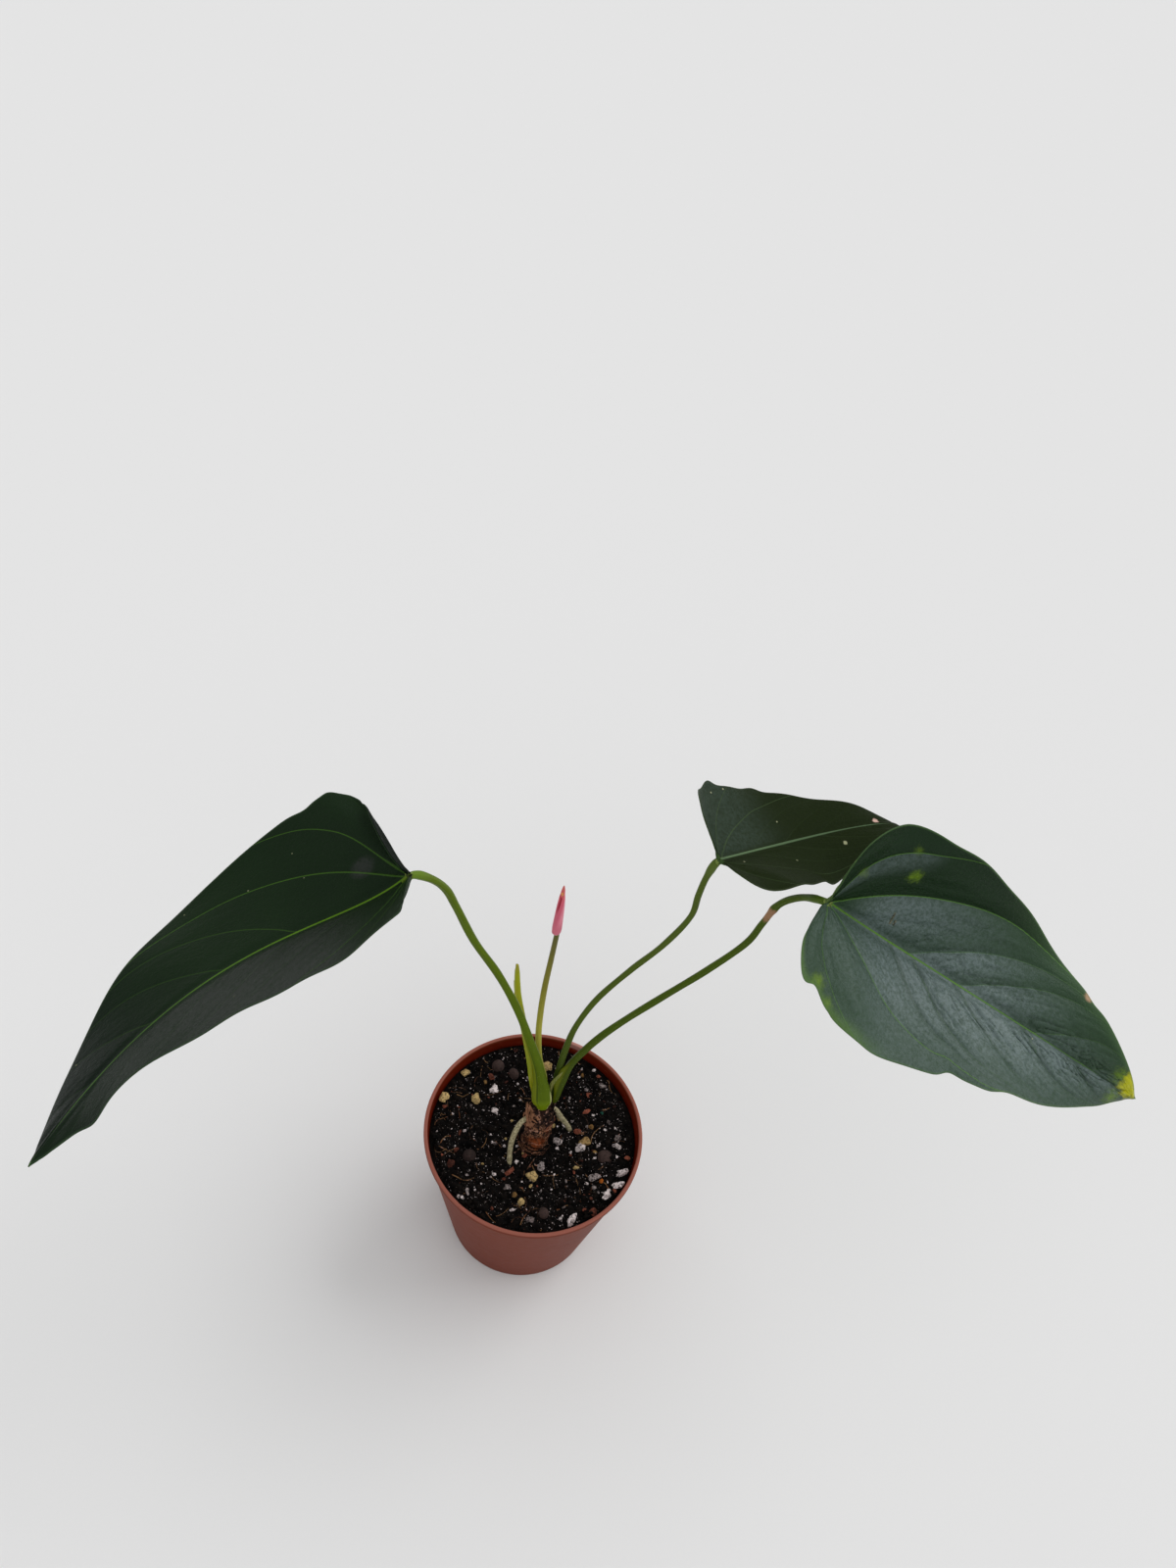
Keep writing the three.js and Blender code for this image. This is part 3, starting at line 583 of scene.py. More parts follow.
def veinSpread(points, phase, around, out):
    # millimetres across one vein count
    dRound = np.gradient(points, axis=0) / np.gradient(around, axis=0)[..., None]
    dOut = np.gradient(points, axis=1) / np.gradient(out, axis=1)[..., None]
    pRound = np.gradient(phase, axis=0) / np.gradient(around, axis=0)
    pOut = np.gradient(phase, axis=1) / np.gradient(out, axis=1)
    a, b, c = [(u * v).sum(-1) for u, v in ((dRound, dRound), (dRound, dOut), (dOut, dOut))]
    area = np.maximum(a * c - b * b, 1e-3)
    slope = np.sqrt(np.maximum((c * pRound ** 2 - 2 * b * pRound * pOut + a * pOut ** 2) / area, 1e-8))
    return np.clip(1 / slope, 0.05, 60)


def bladeRelief(leaf, phase, spread, out, offMidrib, flat, seed):
    # pads between sunken veins, short wrinkles across them and a raised midrib
    fromVein = np.abs(2 * (phase - np.round(phase)))
    pad = 1 - (1 - fromVein) ** 2.4
    inner = smoothStep(out, 0, 0.16) * (1 - smoothStep(out, 0.72, 1.0))
    relief = leaf["quiltDepth"] * pad * inner * np.clip(spread / 16, 0, 1)
    wrinkles = lumps(together(phase * 6.5, out * 5, seed), 1, seed)
    finer = lumps(together(phase * 15, out * 11, seed), 1, seed + 1)
    relief = relief + leaf["crinkle"] * inner * (wrinkles + 0.45 * finer)
    relief = relief + 0.5 * lumps(flat, 22, seed + 2) * smoothStep(out, 0, 0.3)
    # sharp little folds that run roughly along the side veins, deepest beside the midrib
    warp = lumps(together(phase * 3, out * 4, seed), 1, seed + 4)
    fold = (1 - np.abs(lumps(together(phase * 9 + 1.4 * warp, out * 7 + warp, seed), 1, seed + 5))) ** 4
    beside = smoothStep(phase, 3.1, 4.0) * (1 - smoothStep(out, 0.25, 0.75)) * smoothStep(out, 0.02, 0.1)
    relief = relief - leaf["ridges"] * (fold - 0.3) * beside * np.clip(spread / 14, 0, 1)
    valley = np.exp(-((offMidrib - 2.2) / 1.3) ** 2)
    return relief - 0.35 * valley


def sheetNormals(points, triangles):
    a, b, c = [points[triangles[:, corner]] for corner in range(3)]
    facing = np.cross(b - a, c - a)
    normals = np.zeros_like(points)
    for corner in range(3):
        np.add.at(normals, triangles[:, corner], facing)
    return unit(normals)


def bladeHalf(leaf, midrib, side, seed):
    around = np.linspace(0, 1, leaf["rounds"] + 1)
    out = np.concatenate([blade["nearMidrib"], np.linspace(*blade["between"]), blade["nearMargin"]])
    around, out = np.meshgrid(around, out, indexing="ij")
    points, x, y = bladeForm(leaf, midrib, around, out, side)
    phase, strength = veinPlace(leaf["veinsLeft" if side > 0 else "veinsRight"], around, out)
    spread = veinSpread(points, phase, around, out)
    offMidrib = np.where(x > 0, np.abs(y), np.hypot(x, y))
    fromMargin = np.linalg.norm(points - points[:, -1:], axis=-1)
    relief = bladeRelief(leaf, phase, spread, out, offMidrib, together(x, y, 0.0), seed)
    veinField = together(phase, spread, blade["veinHalf"] * (1 - 0.6 * out) * (0.4 + 0.6 * strength))
    place, edge = together(x, y, out), together(offMidrib, fromMargin, strength)
    return [array.reshape(len(relief.ravel()), -1) for array in (points, relief, veinField, place, edge)]


def bladeSheet(leaf, midrib, seed):
    # both halves in one sheet; they share the junction, the midrib and the tip
    halves = [bladeHalf(leaf, midrib, side, seed) for side in (1, -1)]
    points, relief, veinField, place, edge = [np.concatenate(pair) for pair in zip(*halves)]
    _, first, shared = np.unique(np.round(points, 3), axis=0, return_index=True, return_inverse=True)
    shared = shared.ravel()
    rows = leaf["rounds"] + 1
    columns = len(points) // (2 * rows)
    quads = np.array(gridQuads(rows, columns))
    quads = np.concatenate([quads[:, ::-1], quads + rows * columns])
    quads = shared[quads]
    triangles = np.concatenate([quads[:, [0, 1, 2]], quads[:, [0, 2, 3]]])
    sound = (triangles[:, 0] != triangles[:, 1]) & (triangles[:, 1] != triangles[:, 2]) & \
        (triangles[:, 2] != triangles[:, 0])
    return [array[first] for array in (points, relief, veinField, place, edge)], triangles[sound]


def makeBlade(name, leaf, finish, seed):
    midrib = Midrib(leaf["midrib"])
    (points, relief, veinField, place, edge), triangles = bladeSheet(leaf, midrib, seed)
    normals = sheetNormals(points, triangles)
    if normals[:, 2].mean() < 0:
        triangles, normals = triangles[:, ::-1], -normals
    points = points + normals * relief
    normals = sheetNormals(points, triangles)
    taper = 1 - 0.7 * np.clip(place[:, 0] / midrib.length, 0, 1)
    fromMargin = edge[:, 1]
    body = blade["thinEdge"] + (blade["thick"] - blade["thinEdge"]) * np.sqrt(np.clip(fromMargin / 1.5, 0, 1))
    offVein = np.abs(veinField[:, 0] - np.round(veinField[:, 0])) * veinField[:, 1]
    inside = np.clip(fromMargin / 4, 0, 1)
    upper = body / 2 + blade["midribRidge"] * taper * np.exp(-(edge[:, 0] / 0.7) ** 2) * inside
    keel = blade["midribKeel"] * taper * np.exp(-(edge[:, 0] / 1.1) ** 2)
    keel = keel + blade["veinKeel"] * edge[:, 2] * np.exp(-(offVein / 0.6) ** 2) * np.clip(fromMargin / 10, 0, 1)
    lower = body / 2 + keel * inside
    solid = np.concatenate([points + normals * upper[:, None], points - normals * lower[:, None]])
    count = len(points)
    pairs = [triangles[:, [start, end]].tolist() for start, end in ((0, 1), (1, 2), (2, 0))]
    edges = {tuple(pair): True for pair in sum(pairs, [])}
    rim = [[b, a, a + count, b + count] for a, b in edges if (b, a) not in edges]
    faces = triangles.tolist() + (triangles[:, ::-1] + count).tolist() + rim
    fields = {"veinField": veinField, "place": place, "edge": edge}
    fields = {key: np.concatenate([field, field]) for key, field in fields.items()}
    fields["under"] = np.repeat([0.0, 1.0], count)
    makePiece(f"leaf_blade_{name}", solid, faces, finish, fields, "leaf_blade", [f"blade_{name}"])


# each leaf's sheen tone is a painted reflection, a grey sheen laid into the colour
leafTones = {
    "left": {
        "deep": (18, 34, 14), "light": (25, 45, 19), "paintedSheen": (46, 51, 45), "gloss": 0.05,
        "margin": (60, 84, 54), "vein": (70, 108, 34), "midrib": (96, 138, 22), "dullMidrib": (72, 108, 44),
        # the left leaf's underside tone is dark as painted shade where its underside shows
        "under": (9, 18, 8), "length": 177, "specular": 0.1, "roughness": 0.38,
        "flecks": [(85.8, 25.8, 0.4), (41.2, -35.1, 0.35), (40.5, -23.1, 0.35), (59.6, -31.1, 0.4),
                   (79.8, -38.6, 0.35), (137.8, -17.4, 0.45)],
        "yellowing": [],
    },
    "front_right": {
        "deep": (34, 58, 30), "light": (46, 72, 42), "dark": (12, 38, 2), "paintedSheen": (98, 113, 111), "gloss": 0.2,
        "margin": (84, 116, 62), "vein": (84, 126, 48), "midrib": (94, 142, 34), "dullMidrib": (86, 126, 56),
        "under": (70, 98, 54), "length": 170, "specular": 0.22, "roughness": 0.36,
        "flecks": [(111.5, -2.4, 0.5)],
        "yellowing": [(22.4, 31.0, 5.5, 0.95), (12.8, 41.4, 3.6, 0.5), (0.7, 18.8, 4.0, 0.45),
                      (-4.8, -34.3, 4.5, 0.7), (-0.7, -42.3, 4.0, 0.6), (156.3, -5.1, 6.0, 0.7),
                      (153.0, 5.5, 6.0, 0.7)],
    },
    "back_right": {
        "deep": (26, 36, 11), "light": (32, 43, 14), "paintedSheen": (62, 78, 68), "gloss": 0.08,
        "margin": (62, 72, 46), "vein": (66, 84, 52), "midrib": (98, 122, 88), "dullMidrib": (84, 106, 76),
        "under": (66, 90, 50), "length": 111, "specular": 0.04, "roughness": 0.5,
        "flecks": [(73.1, -7.3, 1.3), (43.1, -10.8, 0.6), (7.7, -7.2, 0.6), (48.1, 10.9, 0.5), (19.7, 29.8, 0.6),
                   (28.6, 30.4, 0.6)],
        "yellowing": [],
    },
}
# marks of single leaves: tones, and places along and across the blade in millimetres
leafMarks = {
    "nearEdge": (92, 128, 36), "farMargin": (74, 104, 62), "darkTip": (6, 18, 8), "yellowing": (104, 134, 14),
    "crease": (44, 62, 50), "underVein": (140, 160, 84), "fleck": (188, 190, 150),
    "yellowTip": (186, 186, 4), "yellowTipAt": (162.5, 6.0, 0), "nick": (200, 160, 128), "nickAt": (123.6, 25.8, 0),
    "speck": (224, 186, 172), "speckAt": (93.9, 2.4, 0), "scratchDark": (30, 34, 22), "scratchLight": (122, 116, 84),
    "scratches": [(30.1, 12.4, 31.9, 7.0), (33.2, 9.8, 33.6, 7.2)],
}


def leafPaintedSheen(leaf, name, phase, x, y, out):
    # painted sheen: where each leaf's grey reflected sheen is painted into its colour, by side and by the sectors
    # between its veins
    if name == "left":
        near = leaf.fade(y, 0.5, 5) * leaf.fade(x, 8, 46) * (1 - leaf.fade(x, 95, 150) * 0.85)
        # a painted highlight: pale glossy specks near the junction
        gloss = leaf.fade(leaf.distance(leaf.vector(x, y * 1.6), (16.4, -22.2, 0)), 8, 3) * 0.5
        return near * 0.9 + gloss * 2.4
    if name == "front_right":
        # painted sheen and shade: each sector is painted bright just past its vein and dulls towards the next one
        sector = phase.math("FRACT", phase)
        past = 1 - leaf.fade(sector, 0.35, 0.97) * 0.62
        upper = leaf.fade(phase, 2.97, 3.03) * leaf.fade(out, 0.98, 0.2) * leaf.fade(x, 2, 30)
        upper = upper * (1 - leaf.fade(x, 66, 145) * 0.72)
        second = leaf.fade(phase, 1.97, 2.03) * leaf.fade(phase, 2.6, 2.1) * leaf.fade(x, 32, 14) * 0.45
        upper = (upper + second) * past * leaf.fade(y, 0, 1)
        lower = leaf.fade(y, 0, -1) * (leaf.fade(x, 0, 46) * 0.7 + 0.36) * (1 - leaf.fade(x, 110, 165) * 0.4)
        return upper * 0.9 + lower * (1 - leaf.fade(out, 0.1, 1.0) * 0.66) * (1 - leaf.fade(sector, 0.5, 1) * 0.2)
    return leaf.fade(y, -1, 4) * leaf.fade(x, 54, 24) * 0.42


def leafColour(leaf, tones, name, fields, noises):
    phase, x, y, out, vein, midrib, fromVein = fields
    place, clouds, grain, streaks, pebble = noises
    leaf.base(clouds * 0.7 + streaks * 0.45 - 0.12, tones["deep"], tones["light"])
    if name == "front_right":
        # painted shade: the two far sectors beyond the first strong vein are painted a deeper, cleaner green, as they
        # reflect less light
        shadedSectors = leaf.fade(y, 0, 1) * leaf.fade(phase, 3.04, 2.96)
        leaf.tint(shadedSectors * 0.92, *tones["dark"])
        edge = leaf.fade(y, 0, -1) * leaf.fade(out, 0.86, 1.0) * leaf.fade(x, 60, 10)
        leaf.tint(edge * 0.6, *leafMarks["nearEdge"])
        margin = leaf.fade(y, 0, 1) * leaf.fade(out, 0.8, 1.0) * leaf.fade(x, 60, 120)
        leaf.tint(margin * 0.5, *leafMarks["farMargin"])
    if name == "left":
        # painted shade: darker towards the tip, most on the far half
        tipward = leaf.fade(x, 80, 145) * (leaf.fade(y, 1, -2) * 0.35 + 0.5)
        leaf.tint(tipward, *leafMarks["darkTip"])
    leaf.tint(grain * 0.2, *[part * 0.5 for part in tones["deep"]])
    broken = streaks * 0.5 + leaf.fade(pebble, 0.36, 0.64) * 0.74 + 0.3
    paintedSheen = leafPaintedSheen(leaf, name, phase, x, y, out) * broken
    if name == "left":
        paintedSheen = paintedSheen * (leaf.fade(streaks, 0.36, 0.6) * 0.55 + 0.66)
    # painted sheen: the grey reflection on each leaf laid into its colour
    leaf.tint(paintedSheen, *tones["paintedSheen"])
    for spotX, spotY, radius, strength in tones["yellowing"]:
        off = leaf.distance(leaf.vector(x, y), (spotX, spotY, 0)) + leaf.noise(place, 0.42, 4.0, 0.7) * radius * 1.6
        leaf.tint(leaf.fade(off, radius * 1.75, radius * 0.7) * strength, *leafMarks["yellowing"])
    if name == "front_right":
        # painted shade: the near half's side veins lie in creases, darkened beside each vein
        crease = leaf.fade(fromVein, 2.2, 0.3) * leaf.fade(y, 0, -1) * leaf.fade(phase, 2.4, 2.6)
        leaf.tint(crease * leaf.fade(out, 0.95, 0.5) * 0.5, *leafMarks["crease"])
    leaf.tint(vein * 0.8, *tones["vein"])
    dull = leaf.fade(x, 0, tones["length"] * 0.8)
    midribTone = leaf.mix(dull, tone(*tones["midrib"]), tone(*tones["dullMidrib"]))
    leaf.colour = leaf.mix(midrib * 0.95, leaf.colour, midribTone)
    return paintedSheen


def addLeafMarks(leaf, name, tones, x, y, place, grain):
    # the yellow tip, the nick and the scratch of the front leaf, the pale speck of the back leaf and small flecks
    flat = leaf.vector(x, y)
    if name == "front_right":
        rough = leaf.noise(place, 0.35, 4.0, 0.7) * 7 - 3.5
        tip = leaf.fade(leaf.distance(flat, leafMarks["yellowTipAt"]) + rough, 9.5, 5.5)
        leaf.tint(tip * 0.92, *leafMarks["yellowTip"])
        nick = leaf.fade(leaf.distance(flat, leafMarks["nickAt"]) + grain * 1.5, 3.6, 1.8)
        leaf.tint(nick * 0.85, *leafMarks["nick"])
        for startX, startY, endX, endY in leafMarks["scratches"]:
            run, rise = endX - startX, endY - startY
            long = math.hypot(run, rise)
            across = abs((x - startX) * (rise / long) - (y - startY) * (run / long)) + grain * 0.8
            along = abs((x - (startX + endX) / 2) * (run / long) + (y - (startY + endY) / 2) * (rise / long))
            mark = leaf.fade(across, 1.15, 0.7) * leaf.fade(along, long * 0.6, long * 0.42)
            shades = tone(*leafMarks["scratchDark"]), tone(*leafMarks["scratchLight"])
            leaf.colour = leaf.mix(mark * 0.85, leaf.colour, leaf.mix(leaf.fade(grain, 0.35, 0.65), *shades))
    if name == "back_right":
        speck = leaf.fade(leaf.distance(flat, leafMarks["speckAt"]) + grain * 1.6, 2.6, 1.6)
        leaf.tint(speck * 0.95, *leafMarks["speck"])
    for spotX, spotY, radius in tones["flecks"]:
        off = leaf.distance(flat, (spotX, spotY, 0)) + grain * radius * 0.9
        strength = 0.4 if name == "left" else 0.75
        leaf.tint(leaf.fade(off, radius * 1.4, radius * 0.85) * strength, *leafMarks["fleck"])


def leafFinish(name, tones):
    leaf = Finish(f"leaf_{name}", Roughness=tones["roughness"], Specular_IOR_Level=tones["specular"],
                  Specular_Tint=(0.84, 0.98, 1, 1), Coat_Roughness=0.3)
    phase, spread, halfWidth = leaf.parts(leaf.field("veinField"))[:3]
    place = leaf.field("place")
    x, y, out = leaf.parts(place)[:3]
    fromMidrib, fromMargin, strength = leaf.parts(leaf.field("edge"))[:3]
    fromVein = abs(phase - phase.math("ROUND", phase)) * spread
    vein = leaf.fade(fromVein, halfWidth * 1.6, halfWidth * 0.5) * strength
    slender = 0.95 - x * (0.65 / tones["length"])
    midrib = leaf.fade(fromMidrib, slender * 1.0, slender * 0.45)
    clouds = leaf.noise(place, 0.05, 4.0)
    grain = leaf.noise(place, 0.9, 3.0)
    streaks = leaf.noise(leaf.vector(phase * 11.0, out * 4.0), 1.0, 4.0, 0.65)
    pebble = leaf.noise(place, 0.62, 5.0, 0.75)
    netLine = leaf.fade(leaf.cells(place, 0.42, "DISTANCE_TO_EDGE"), 0.09, 0.0)
    noises = (place, clouds, grain, streaks, pebble)
    paintedSheen = leafColour(leaf, tones, name, (phase, x, y, out, vein, midrib, fromVein), noises)
    addLeafMarks(leaf, name, tones, x, y, place, grain)
    leaf.tint(leaf.fade(fromMargin, 1.0, 0.2) * 0.45, *tones["margin"])
    under = leaf.field("under", "Fac")
    shadowed = [part * 0.8 for part in tones["under"]]
    underTone = leaf.mix(leaf.noise(place, 0.2), tone(*tones["under"]), tone(*shadowed))
    underTone = leaf.mix(vein * 0.5 + midrib * 0.8, underTone, tone(*leafMarks["underVein"]))
    leaf.colour = leaf.mix(leaf.fade(under, 0.2, 0.8), leaf.colour, underTone)
    # the painted sheen mask also sets the coat weight
    leaf.feed("Coat Weight", paintedSheen * tones["gloss"])
    leaf.feed("Roughness", grain * 0.12 + streaks * 0.14 + (tones["roughness"] - 0.13) + midrib * 0.1 + under * 0.5)
    return leaf.done(grain * 0.4 + pebble * 1.2 + streaks * 0.4 - netLine * 0.2 - vein * 0.5, 0.7, 0.4)


for order, (name, leaf) in enumerate(leaves.items()):
    makeBlade(name, leaf, leafFinish(name, leafTones[name]), 3 + order)
print("leaf blades are built")


# ---- leaf stalks

petioles = {
    "left": {
        "path": [
            (1.9, 1.9, 107.7), (1.7, 2.5, 108.7), (0.8, 4.9, 111.8), (-0.6, 8.3, 117.4), (-3.4, 12, 127),
            (-7.6, 15.7, 136), (-16.9, 22, 155), (-27.7, 26, 174), (-39.6, 27.6, 193.5), (-48.8, 28, 216),
            (-53.2, 26.5, 228.5), (-59, 21.5, 240.5), (-65.2, 14.8, 249.2), (-67.6, 11.6, 248.6),
        ],
        "sizes": [
            (0, 2.3, 1.6), (0.003, 3.1, 2.1), (0.007, 3.8, 2.5), (0.014, 4.25, 2.9), (0.03, 4.4, 3.1),
            (0.05, 4.0, 2.9), (0.075, 3.2, 2.6), (0.12, 2.5, 2.3), (0.2, 2.05, 1.95), (0.3, 1.8, 1.75),
            (0.6, 1.75, 1.7), (0.9, 1.8, 1.7), (0.945, 2.0, 1.95), (0.985, 1.7, 1.5), (1, 1.1, 0.8),
        ],
        "young": (84, 103, 3), "mature": (87, 108, 2), "knuckle": (104, 134, 38), "sides": 64, "steps": 380,
    },
    "front_right": {
        "path": [
            (6.4, 7.4, 104.2), (7.3, 6.4, 107.6), (7.7, 7.6, 110.5), (8.9, 11.5, 117), (11.5, 16.5, 124.5),
            (16.8, 21.3, 131.3), (23.3, 26, 138.4), (31.6, 30.3, 147), (47, 36.2, 163.5), (64, 42, 182.4),
            (77.8, 46.6, 201.8), (81.6, 48.5, 214), (85.7, 49.2, 228), (92.7, 45, 240.5), (100, 37.8, 249),
            (103.4, 37.2, 247.2),
        ],
        "sizes": [
            (0, 1.1, 1.1), (0.016, 1.15, 1.2), (0.028, 1.45, 1.5), (0.05, 1.75, 1.8), (0.085, 2.05, 2.0),
            (0.135, 1.8, 1.8), (0.31, 1.6, 1.6), (0.8, 1.5, 1.5), (0.92, 1.5, 1.5), (0.95, 1.85, 1.85),
            (0.985, 1.7, 1.5), (1, 1.0, 0.8),
        ],
        # the front stalk's young tone is darkened as painted shade at its foot
        "young": (58, 70, 2), "mature": (72, 92, 12), "knuckle": (84, 112, 34), "scar": (83.2, 47.6, 221.0),
        "sides": 32, "steps": 260,
    },
    "back_right": {
        "path": [
            (5.4, 6.5, 102.5), (5.8, 9.2, 109), (6.2, 12.8, 116), (6.8, 16, 124), (7.8, 19.3, 132), (10, 23.4, 143.4),
            (13.9, 27.2, 154.2), (18.8, 30, 164.9), (30, 33.4, 184.9), (41, 35, 205), (49.1, 36.5, 227),
            (49.7, 38, 239), (51, 39, 251), (53.4, 39.2, 260.6), (56, 41, 259.6),
        ],
        "sizes": [
            (0, 1.5, 1.5), (0.05, 1.8, 1.7), (0.12, 1.65, 1.6), (0.25, 1.4, 1.4), (0.8, 1.3, 1.3),
            (0.92, 1.4, 1.4), (0.95, 1.8, 1.8), (0.985, 1.65, 1.5), (1, 1.0, 0.8),
        ],
        "young": (28, 40, 2), "mature": (78, 96, 24), "knuckle": (92, 112, 44), "sides": 32, "steps": 260,
    },
}
stalkTones = {
    "dots": (132, 148, 72), "flap": (112, 120, 14), "crease": (34, 46, 2), "rim": (206, 206, 140),
    "foot": (118, 140, 8), "wing": (98, 106, 8), "scab": (172, 128, 98),
}


def stalkFinish(name, tones):
    stalk = Finish(f"stalk_{name}", Roughness=0.45, Specular_IOR_Level=0.12)
    along, angle, length = stalk.parts(stalk.field("stem"))[:3]
    place = stalk.place()
    streaks = stalk.noise(stalk.vector(angle * 9.0, along * length * 0.03), 1.0, 4.0, 0.6)
    mottle = stalk.noise(place, 260.0, 4.0)
    dots = stalk.fade(stalk.cells(place, 900.0), 0.24, 0.1)
    # young at the foot to mature above; the front stalk's young tone is painted shade
    stalk.base(stalk.fade(along, 0.04, 0.3), tones["young"], tones["mature"])
    stalk.tint(stalk.fade(along, 0.9, 0.965), *tones["knuckle"])
    stalk.tint(streaks * 0.55, *[part * 0.62 for part in tones["mature"]])
    stalk.tint(mottle * 0.3, *[part * 1.2 for part in tones["mature"]])
    stalk.tint(dots * 0.35, *stalkTones["dots"])
    height = streaks * 0.7 + mottle * 0.5 + dots * 0.4
    if name == "left":
        # the sheath's left flap is paler, with painted shade along the crease beside it; its right edge is cream
        crease = 0.675 - along * 0.12
        flap = stalk.fade(angle - crease, 0.012, -0.006) * stalk.fade(angle, 0.4, 0.46) * stalk.fade(along, 0.3, 0.16)
        stalk.tint(flap * 0.75, *stalkTones["flap"])
        creaseShade = stalk.fade(abs(angle - crease - 0.014), 0.016, 0.004) * stalk.fade(along, 0.26, 0.12)
        stalk.tint(creaseShade * 0.6, *stalkTones["crease"])
        rim = stalk.fade(angle, 0.925, 0.955) * stalk.fade(along, 0.055, 0.035)
        stalk.tint(rim * 0.9, *stalkTones["rim"])
        stalk.tint(stalk.fade(along, 0.03, 0.004) * 0.5, *stalkTones["foot"])
    if name == "front_right":
        # the sheath's wing is olive yellow
        wing = stalk.fade(abs(angle - 0.57), 0.16, 0.05) * stalk.fade(along, 0.145, 0.105)
        stalk.tint(wing * 0.8, *stalkTones["wing"])
    if "scar" in tones:
        off = stalk.distance(place, [part * mm for part in tones["scar"]]) + mottle * 0.004
        scab = stalk.fade(off, 0.0075, 0.005)
        stalk.tint(scab * stalk.fade(mottle, 0.3, 0.5) * 0.85, *stalkTones["scab"])
        height = height + scab * stalk.noise(place, 900.0, 4.0) * 2
    stalk.feed("Roughness", mottle * 0.25 + 0.33)
    return stalk.done(height, 0.5, 0.25)


def petioleRelief(name):
    # a shallow channel along the upper side, soft ribs, and the sheath's edge on the left leaf's base
    def relief(share, angle):
        channel = -0.28 * np.exp(-((angle - 4.5) / 0.45) ** 2) * smoothStep(share, 0.12, 0.3)
        ribs = 0.04 * np.cos(7 * angle + 2 * share) + 0.05 * np.sin(40 * share + 2 * angle)
        fold = 0.0
        if name == "left":
            # a flap lies over the left side as far as a crease, and the right edge stands up as a rim
            crease = 4.24 - 0.75 * share
            flap = smoothStep(angle, 2.7, 3.3) * (1 - smoothStep(angle, crease - 0.06, crease + 0.1))
            fold = 0.35 * flap * (1 - smoothStep(share, 0.16, 0.3)) * smoothStep(share, 0.0, 0.02)
            groove = -0.4 * np.exp(-((angle - crease - 0.25) / 0.2) ** 2) * (1 - smoothStep(share, 0.1, 0.26))
            rim = 0.5 * np.exp(-((angle - 5.98) / 0.13) ** 2) * (1 - smoothStep(share, 0.045, 0.07))
            fold = fold + groove * smoothStep(share, 0.01, 0.04) + rim * smoothStep(share, 0.004, 0.02)
        if name == "front_right":
            fold = 1.9 * np.exp(-((angle - 3.5) / 0.3) ** 2) * smoothStep(share, 0.03, 0.075)
            fold = fold * (1 - smoothStep(share, 0.1, 0.13))
            fold = fold + 0.45 * np.exp(-((share - 0.808) / 0.014) ** 2) * (0.6 + 0.4 * np.sin(5 * angle))
        return channel + ribs + fold
    return relief


for name, petiole in petioles.items():
    makeTube(f"leaf_stalk_{name}", petiole, petioleRelief(name), stalkFinish(name, petiole), "petiole",
             f"petiole_{name}", blur=0.012)
print("leaf stalks are built")


# ---- new shoot, bract and flower

shoot = {
    "path": [
        (-1.2, 7.8, 101), (-2.8, 9.2, 107), (-4.6, 10.4, 113.5), (-6.9, 14.2, 122.5), (-10.2, 19.5, 132),
        (-14, 24.7, 143), (-18.3, 31, 155.2), (-20.5, 36.5, 168.4),
    ],
    "sizes": [(0, 1.2, 1.2), (0.1, 1.5, 1.4), (0.6, 1.6, 1.35), (0.85, 1.5, 1.1), (0.95, 1.2, 0.9), (1, 0.7, 0.5)],
    "sides": 32, "steps": 150,
    "foot": (120, 138, 2), "top": (142, 156, 6), "streaks": (164, 174, 38), "driedTip": (150, 140, 60),
}
flowerStalk = {
    "path": [
        (1.8, 8, 102), (1.6, 11, 106.5), (0.2, 14.8, 113), (-3.3, 19, 121), (-5.7, 24.3, 133.5),
        (-6.5, 29.8, 145), (-6.5, 33.4, 160), (-5.8, 35.6, 178), (-5.1, 35.9, 198.6),
    ],
    "sizes": [(0, 1.35, 1.35), (0.3, 1.45, 1.45), (0.6, 1.4, 1.4), (1, 1.15, 1.15)],
    "tones": [(0, 122, 132, 6), (0.4, 190, 184, 66), (0.65, 136, 129, 36), (0.93, 96, 92, 38), (1, 84, 88, 34)],
    "streaks": (74, 66, 26), "mottle": (150, 150, 64), "sides": 24, "steps": 160,
}
bract = {
    "path": [(4.2, 7.4, 104.5), (4, 8.3, 112), (5.2, 9.4, 119), (8.3, 11, 126)],
    "halfWidth": [(0, 1.15), (0.5, 1.05), (0.85, 0.65), (1, 0.25)], "thick": 0.3, "rows": 40, "columns": 11,
    "green": (96, 112, 40), "dry": (150, 140, 84),
}
bud = {
    "base": (-5.6, 36, 197.9), "tip": (-5.5, 42.8, 223.4),
    "sizes": [(0, 1.1), (0.025, 1.7), (0.06, 2.05), (0.13, 2.2), (0.25, 2.1), (0.35, 1.98), (0.48, 1.84),
              (0.6, 1.66), (0.71, 1.42), (0.83, 1.1), (0.905, 0.78), (0.97, 0.38), (1, 0.12)],
    "turns": 1.32, "slit": 0.66, "slitAt": 0.85, "wall": 0.26, "rows": 90, "columns": 110,
    "tones": [(0, 236, 178, 178), (0.05, 216, 124, 140), (0.35, 210, 106, 126), (0.66, 220, 96, 116),
              (0.86, 236, 108, 106), (1, 198, 116, 96)],
    # the pale right side and the dark red seam of the bud are painted highlight and painted shadow
    "clouds": (232, 122, 146), "veins": (176, 48, 72), "paintedHighlight": (246, 158, 174), "seam": (146, 12, 34),
    "freeEdge": (240, 150, 150), "inside": (236, 170, 160),
}
